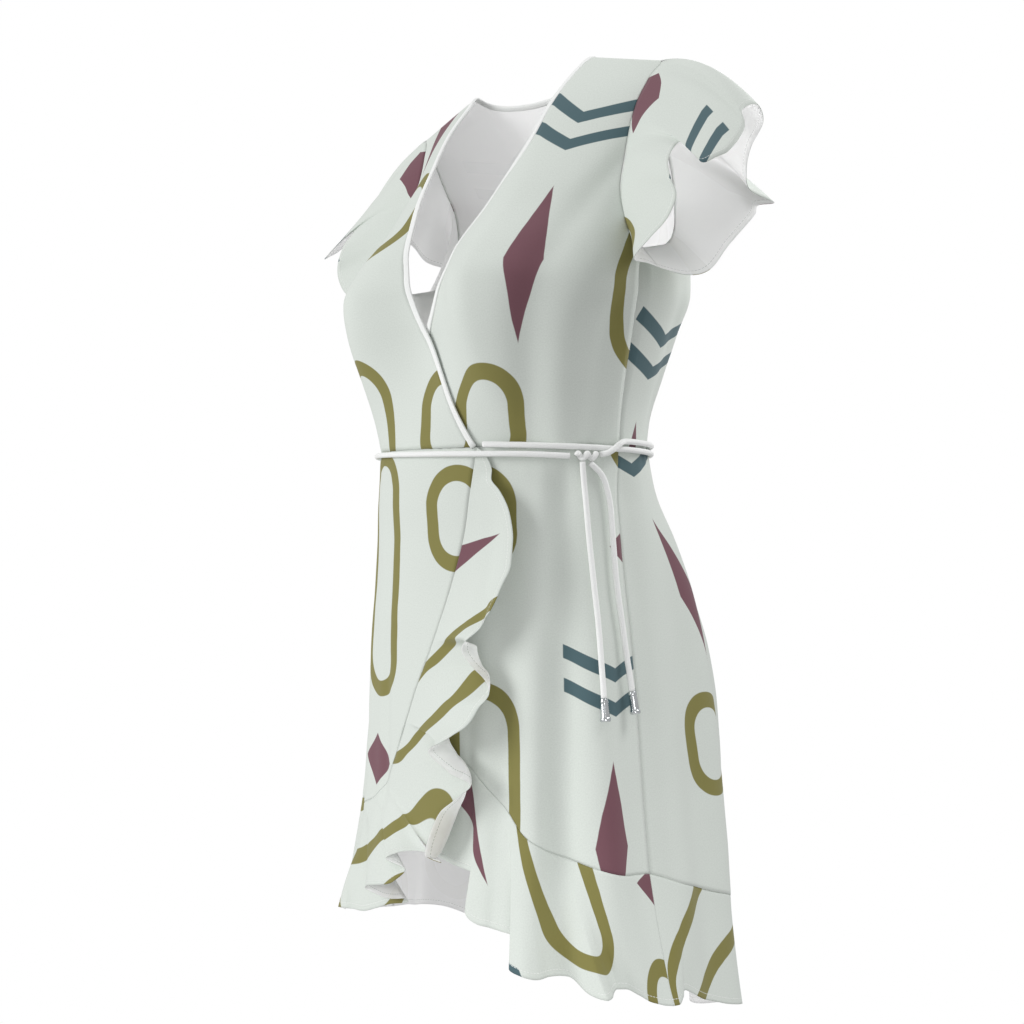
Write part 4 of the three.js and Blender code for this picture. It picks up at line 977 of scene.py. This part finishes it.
# ------------------------------------------------------------------ tie
# White round cord. The long tie comes from the right front's corner, goes round the back and again
# across the front; the short tie comes round the back from the right side seam. They are knotted on
# the wearer's left front, and their two free ends hang down the skirt.
CORD = 5.4
CORD_CLEAR = 0.5  # between the cord and the cloth it lies on
LYING = CORD / 2 + CORD_CLEAR
STRAND_SCALE = 700.0
STRAND_DEPTH = 0.0005
cord_white = Finish("white_cord")
flat, _, _ = cord_white.map("cut")
strand = cord_white.noise(flat, STRAND_SCALE)
cord_shade = cord_white.blend(strand, colour("#eceeec"), colour("#ffffff"))
cord_white.plug(cord_white.shader.inputs["Base Color"], cord_shade)
cord_white.surface(0.7, Specular_IOR_Level=0.35, Sheen_Weight=0.1)
cord_white.bump(strand, STRAND_DEPTH, 0.5)

LONG_TIE_ENDS = (39, 430.2)
SHORT_TIE_ENDS = (80.9, 268)
FIRST_TAIL_ENDS = (-394.2, -604)
SECOND_TAIL_ENDS = (-395.4, -600)
LONG_TIE = table(
    "angle level lift",
    [
        (39, -377.5, LYING + 0.4),
        (62, -379.2, LYING + 0.3),
        (90, -381.5, LYING + 0.3),
        (130, -384, LYING),
        (180, -385, LYING),
        (270, -384, LYING + 0.3),
        (320, -383, LYING + 0.3),
        (360, -384.5, LYING + 0.3),
        (395, -386, LYING + 1.2),
        (415, -386.8, LYING + 1.2),
        (430.2, -388.6, LYING + 2),
    ],
)
SHORT_TIE = table(
    "angle level lift",
    [
        (80.9, -387, LYING + 2),
        (82.4, -385.8, LYING + 6.6),
        (84.5, -382.4, LYING + 8.2),
        (87, -377.3, LYING + 7.6),
        (89.5, -375, LYING + 3.6),
        (92.5, -374.3, LYING + 1.4),
        (98, -374.5, LYING + 0.6),
        (130, -376.5, LYING + 0.4),
        (180, -377.5, LYING + 0.4),
        (268, -376, LYING + 0.4),
    ],
)
FIRST_TAIL = table(
    "level angle lift",
    [
        (-394.2, 74.4, LYING + 2.2),
        (-417, 74.9, LYING + 0.3),
        (-475, 75.6, LYING + 0.8),
        (-541, 76.3, LYING + 0.8),
        (-604, 76.5, LYING + 2.4),
    ],
)
SECOND_TAIL = table(
    "level angle lift",
    [
        (-395.4, 77, LYING + 2.2),
        (-401, 79.6, LYING + 0.8),
        (-411, 82.2, LYING + 0.3),
        (-441, 83.8, LYING + 0.8),
        (-491, 83.6, LYING + 1.2),
        (-551, 84.9, LYING + 1.2),
        (-600, 86.4, LYING + 2.4),
    ],
)


def off_waist(angle, level, lift):
    """Point off the waist at a true angle; the bodice is a plain ellipse there too."""
    half = np.where(level > WAIST, BODICE["half"](level), SKIRT["half"](level))
    front = np.where(level > WAIST, BODICE["front"](level), SKIRT["front"](level))
    back = np.where(level > WAIST, BODICE["back"](level), SKIRT["back"](level))
    depth = np.where(np.cos(angle) >= 0, front, back)
    radius = 1 / np.hypot(np.sin(angle) / half, np.cos(angle) / depth)
    point = np.stack([radius * np.sin(angle), -radius * np.cos(angle), level], -1)
    return point + outward(on_skirt, WAIST + 0 * level, angle) * lift[..., None]


def evenly(points, step):
    """The same line with points a step apart."""
    run = lengths_of(points)
    stops = np.linspace(0, run[-1], max(2, int(round(run[-1] / step)) + 1))
    return np.stack([np.interp(stops, run, points[:, k]) for k in range(3)], -1)


CORD_SIDES = 16
UNEVEN = 0.02
UNEVEN_ALONG = 4.3
UNEVEN_ROUND = 9


def rope(name, points, step=2.0):
    """A round cord along a line of points, softly uneven, as a stuffed and turned cord is."""
    points = evenly(points, step)
    run = lengths_of(points)
    direction = unit(np.gradient(points, axis=0))
    first = unit(np.cross(direction[0], (0.3, 0.2, 0.9)))
    frames = [first]
    for d in direction[1:]:
        frames.append(unit(frames[-1] - d * (frames[-1] @ d)))
    frames = np.array(frames)
    others = np.cross(direction, frames)
    turn = 2 * math.pi * np.arange(CORD_SIDES) / CORD_SIDES
    swell = np.sin(run / UNEVEN_ALONG)[:, None] * np.sin(turn + run[:, None] / UNEVEN_ROUND)
    radius = CORD / 2 * (1 + UNEVEN * swell)
    rings = points[:, None] + radius[..., None] * (
        frames[:, None] * np.cos(turn)[:, None] + others[:, None] * np.sin(turn)[:, None]
    )
    return strip(name, rings, run, cord_white.material)


POINTS_PER_DEGREE = 2
for name, route, (first, last) in (
    ("tie_long", LONG_TIE, LONG_TIE_ENDS),
    ("tie_short", SHORT_TIE, SHORT_TIE_ENDS),
):
    angle = np.linspace(first, last, int((last - first) * POINTS_PER_DEGREE))
    line = off_waist(np.radians(angle), route["level"](angle), route["lift"](angle))
    piece = rope(name + "_cord", line)
    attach(piece, "root")
    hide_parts(name)

TAIL_POINTS = 60


def tail_line(tail, top, foot):
    level = np.linspace(top, foot, TAIL_POINTS)
    angle = np.radians(tail["angle"](level))
    return on_skirt(level, angle) + outward(on_skirt, level, angle) * tail["lift"](level)[:, None]


SCUFF_SCALE = 900.0
SCUFF_DEPTH = 0.0001
silver = Finish("silver_tip")
coordinates = silver.node("ShaderNodeTexCoord").outputs["Object"]
scuffs = silver.noise(coordinates, SCUFF_SCALE, 3.0)
silver.plug(silver.shader.inputs["Base Color"], silver.blend(scuffs, colour("#b9bdc0"), colour("#e2e5e6")))
silver.surface(0.22, Metallic=1.0)
silver.bump(scuffs, SCUFF_DEPTH, 0.3)
# Section of a tip from its sleeve to its hollow foot: radius, and mm along it.
TIP_PROFILE = [
    (0, 0.3), (2.9, 0.3), (3.25, 0.5), (3.35, 0.9), (3.8, 3), (3.75, 3.4), (3.45, 3.9), (3.4, 4.5),
    (3.5, 5.4), (4.05, 16), (4.15, 16.8), (4.65, 17.3), (4.8, 17.8), (4.8, 19.4), (4.6, 20.1),
    (4.1, 20.5), (3.7, 20.4), (3.5, 19.8), (3.3, 18.6), (0, 18.4),
]
TIP_SIDES = 32
LEAST_RADIUS = 0.01


def tip(name, line):
    """Bell end: a sleeve on the cord, a neck, and a bell with a rim round its hollow foot."""
    start, direction = line[-1], unit(line[-1] - line[-3])
    turn = 2 * math.pi * np.arange(TIP_SIDES) / TIP_SIDES
    first = unit(np.cross(direction, (0.2, 1, 0.1)))
    other = np.cross(direction, first)
    circle = first * np.cos(turn)[:, None] + other * np.sin(turn)[:, None]
    rings = [start + direction * down + circle * max(radius, LEAST_RADIUS) for radius, down in TIP_PROFILE]
    lengths = np.array([down for _, down in TIP_PROFILE])
    piece = strip(name + "_metal", np.stack(rings), lengths, silver.material)
    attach(piece, "root")
    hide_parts(name)
    return piece


for number, tail, ends in ((1, FIRST_TAIL, FIRST_TAIL_ENDS), (2, SECOND_TAIL, SECOND_TAIL_ENDS)):
    line = tail_line(tail, *ends)
    name = f"tie_tail_{number}"
    piece = rope(name + "_cord", line)
    end = tip(f"tie_tip_{number}", line)
    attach(piece, "root")
    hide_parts(name)

# The knot: a short coil of the cord, laid sideways on the waist.
KNOT = {"angle": 75.6, "level": -388.4, "lift": 5.6, "length": 19, "turns": 2.2, "coil": 2.1}
KNOT_POINTS = 90
KNOT_STEP = 0.8
knot_turn = math.radians(KNOT["angle"])
centre = off_waist(np.array([knot_turn]), np.array([KNOT["level"]]), np.array([KNOT["lift"]]))[0]
side_way = unit(run_per_radian(on_skirt, KNOT["level"], knot_turn))
out_way = np.cross(side_way, (0, 0, 1))
share = np.linspace(0, 1, KNOT_POINTS)
wind = 2 * math.pi * KNOT["turns"] * share
line = (
    centre
    + side_way * (-KNOT["length"] / 2 + KNOT["length"] * share)[:, None]
    + out_way * (KNOT["coil"] * np.cos(wind))[:, None]
    + np.array((0, 0, 1)) * (KNOT["coil"] * np.sin(wind))[:, None]
)
knot = rope("tie_knot_cord", line, step=KNOT_STEP)
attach(knot, "root")
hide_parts("tie_knot")

# ------------------------------------------------------------------ floor, light and camera
# A plain pale floor where the wearer would stand, in an evenly lit white room. A large soft lamp
# stands in front and another behind; two soft spots light the skirt's side and the left sleeve.
FLOOR_LEVEL = -1.45
FLOOR_RADIUS = 1.25
FLOOR_SIDES = 96
bpy.ops.mesh.primitive_circle_add(
    vertices=FLOOR_SIDES, radius=FLOOR_RADIUS, fill_type="NGON", location=(0, 0, FLOOR_LEVEL)
)
floor = bpy.context.object
floor.name = "floor"
pale = Finish("floor_white")
pale.plug(pale.shader.inputs["Base Color"], colour("#f2f2f0"))
pale.surface(0.9)
floor.data.materials.append(pale.material)
floor.visible_diffuse = False

ROOM_LIGHT = 0.53
world = bpy.data.worlds.new("white_room")
bpy.context.scene.world = world
world.use_nodes = True
room = world.node_tree
room.nodes.clear()
output = room.nodes.new("ShaderNodeOutputWorld")
mix = room.nodes.new("ShaderNodeMixShader")
seen = room.nodes.new("ShaderNodeBackground")
seen.inputs["Strength"].default_value = 1.0
seen.inputs["Color"].default_value = (1, 1, 1, 1)
lit = room.nodes.new("ShaderNodeBackground")
lit.inputs["Color"].default_value = (1, 1, 1, 1)
lit.inputs["Strength"].default_value = ROOM_LIGHT
path = room.nodes.new("ShaderNodeLightPath")
room.links.new(path.outputs["Is Camera Ray"], mix.inputs[0])
room.links.new(lit.outputs[0], mix.inputs[1])
room.links.new(seen.outputs[0], mix.inputs[2])
room.links.new(mix.outputs[0], output.inputs["Surface"])


DRESS_MIDDLE = (0, 0, -0.45)


def lamp(name, place, size, power, target=DRESS_MIDDLE, cone=None):
    """A round soft lamp, or with a cone in degrees a soft-edged spot."""
    data = bpy.data.lights.new(name, "SPOT" if cone else "AREA")
    if cone:
        data.spot_size = math.radians(cone)
        data.spot_blend = 1.0
        data.shadow_soft_size = size / 2
    else:
        data.shape = "DISK"
        data.size = size
    data.energy = power
    made = bpy.data.objects.new(name, data)
    bpy.context.scene.collection.objects.link(made)
    made.location = place
    towards = unit(np.array(target) - np.array(place))
    yaw = math.atan2(-towards[0], towards[1])
    made.rotation_euler = (math.acos(-towards[2]), 0, yaw)


lamp("front_lamp", place=(-0.95, -2.6, 0.2), size=1.6, power=42)
lamp("back_lamp", place=(1.7, 1.3, 2.4), size=1.6, power=42)
lamp("skirt_lamp", place=(1.9, -1.5, -0.6), size=0.6, power=62, target=(0.1, 0, -0.86), cone=22)
lamp("sleeve_lamp", place=(0.7, 2.3, 0.6), size=0.5, power=170, target=(0.25, 0.05, -0.13), cone=13)

SENSOR = 36
FOCAL_SHARE = 1400 / 1024  # focal length over the sensor's width
CAMERA_AWAY = 1.4
CAMERA_HEIGHT = -0.439
CAMERA_TURN = math.radians(50)
camera_data = bpy.data.cameras.new("camera")
camera_data.sensor_width = SENSOR
camera_data.lens = SENSOR * FOCAL_SHARE
camera = bpy.data.objects.new("camera", camera_data)
bpy.context.scene.collection.objects.link(camera)
away = (CAMERA_AWAY * math.sin(CAMERA_TURN), -CAMERA_AWAY * math.cos(CAMERA_TURN))
camera.location = (*away, CAMERA_HEIGHT)
camera.rotation_euler = (math.pi / 2, 0, CAMERA_TURN)
bpy.context.scene.camera = camera
bpy.context.scene.view_settings.view_transform = "Standard"
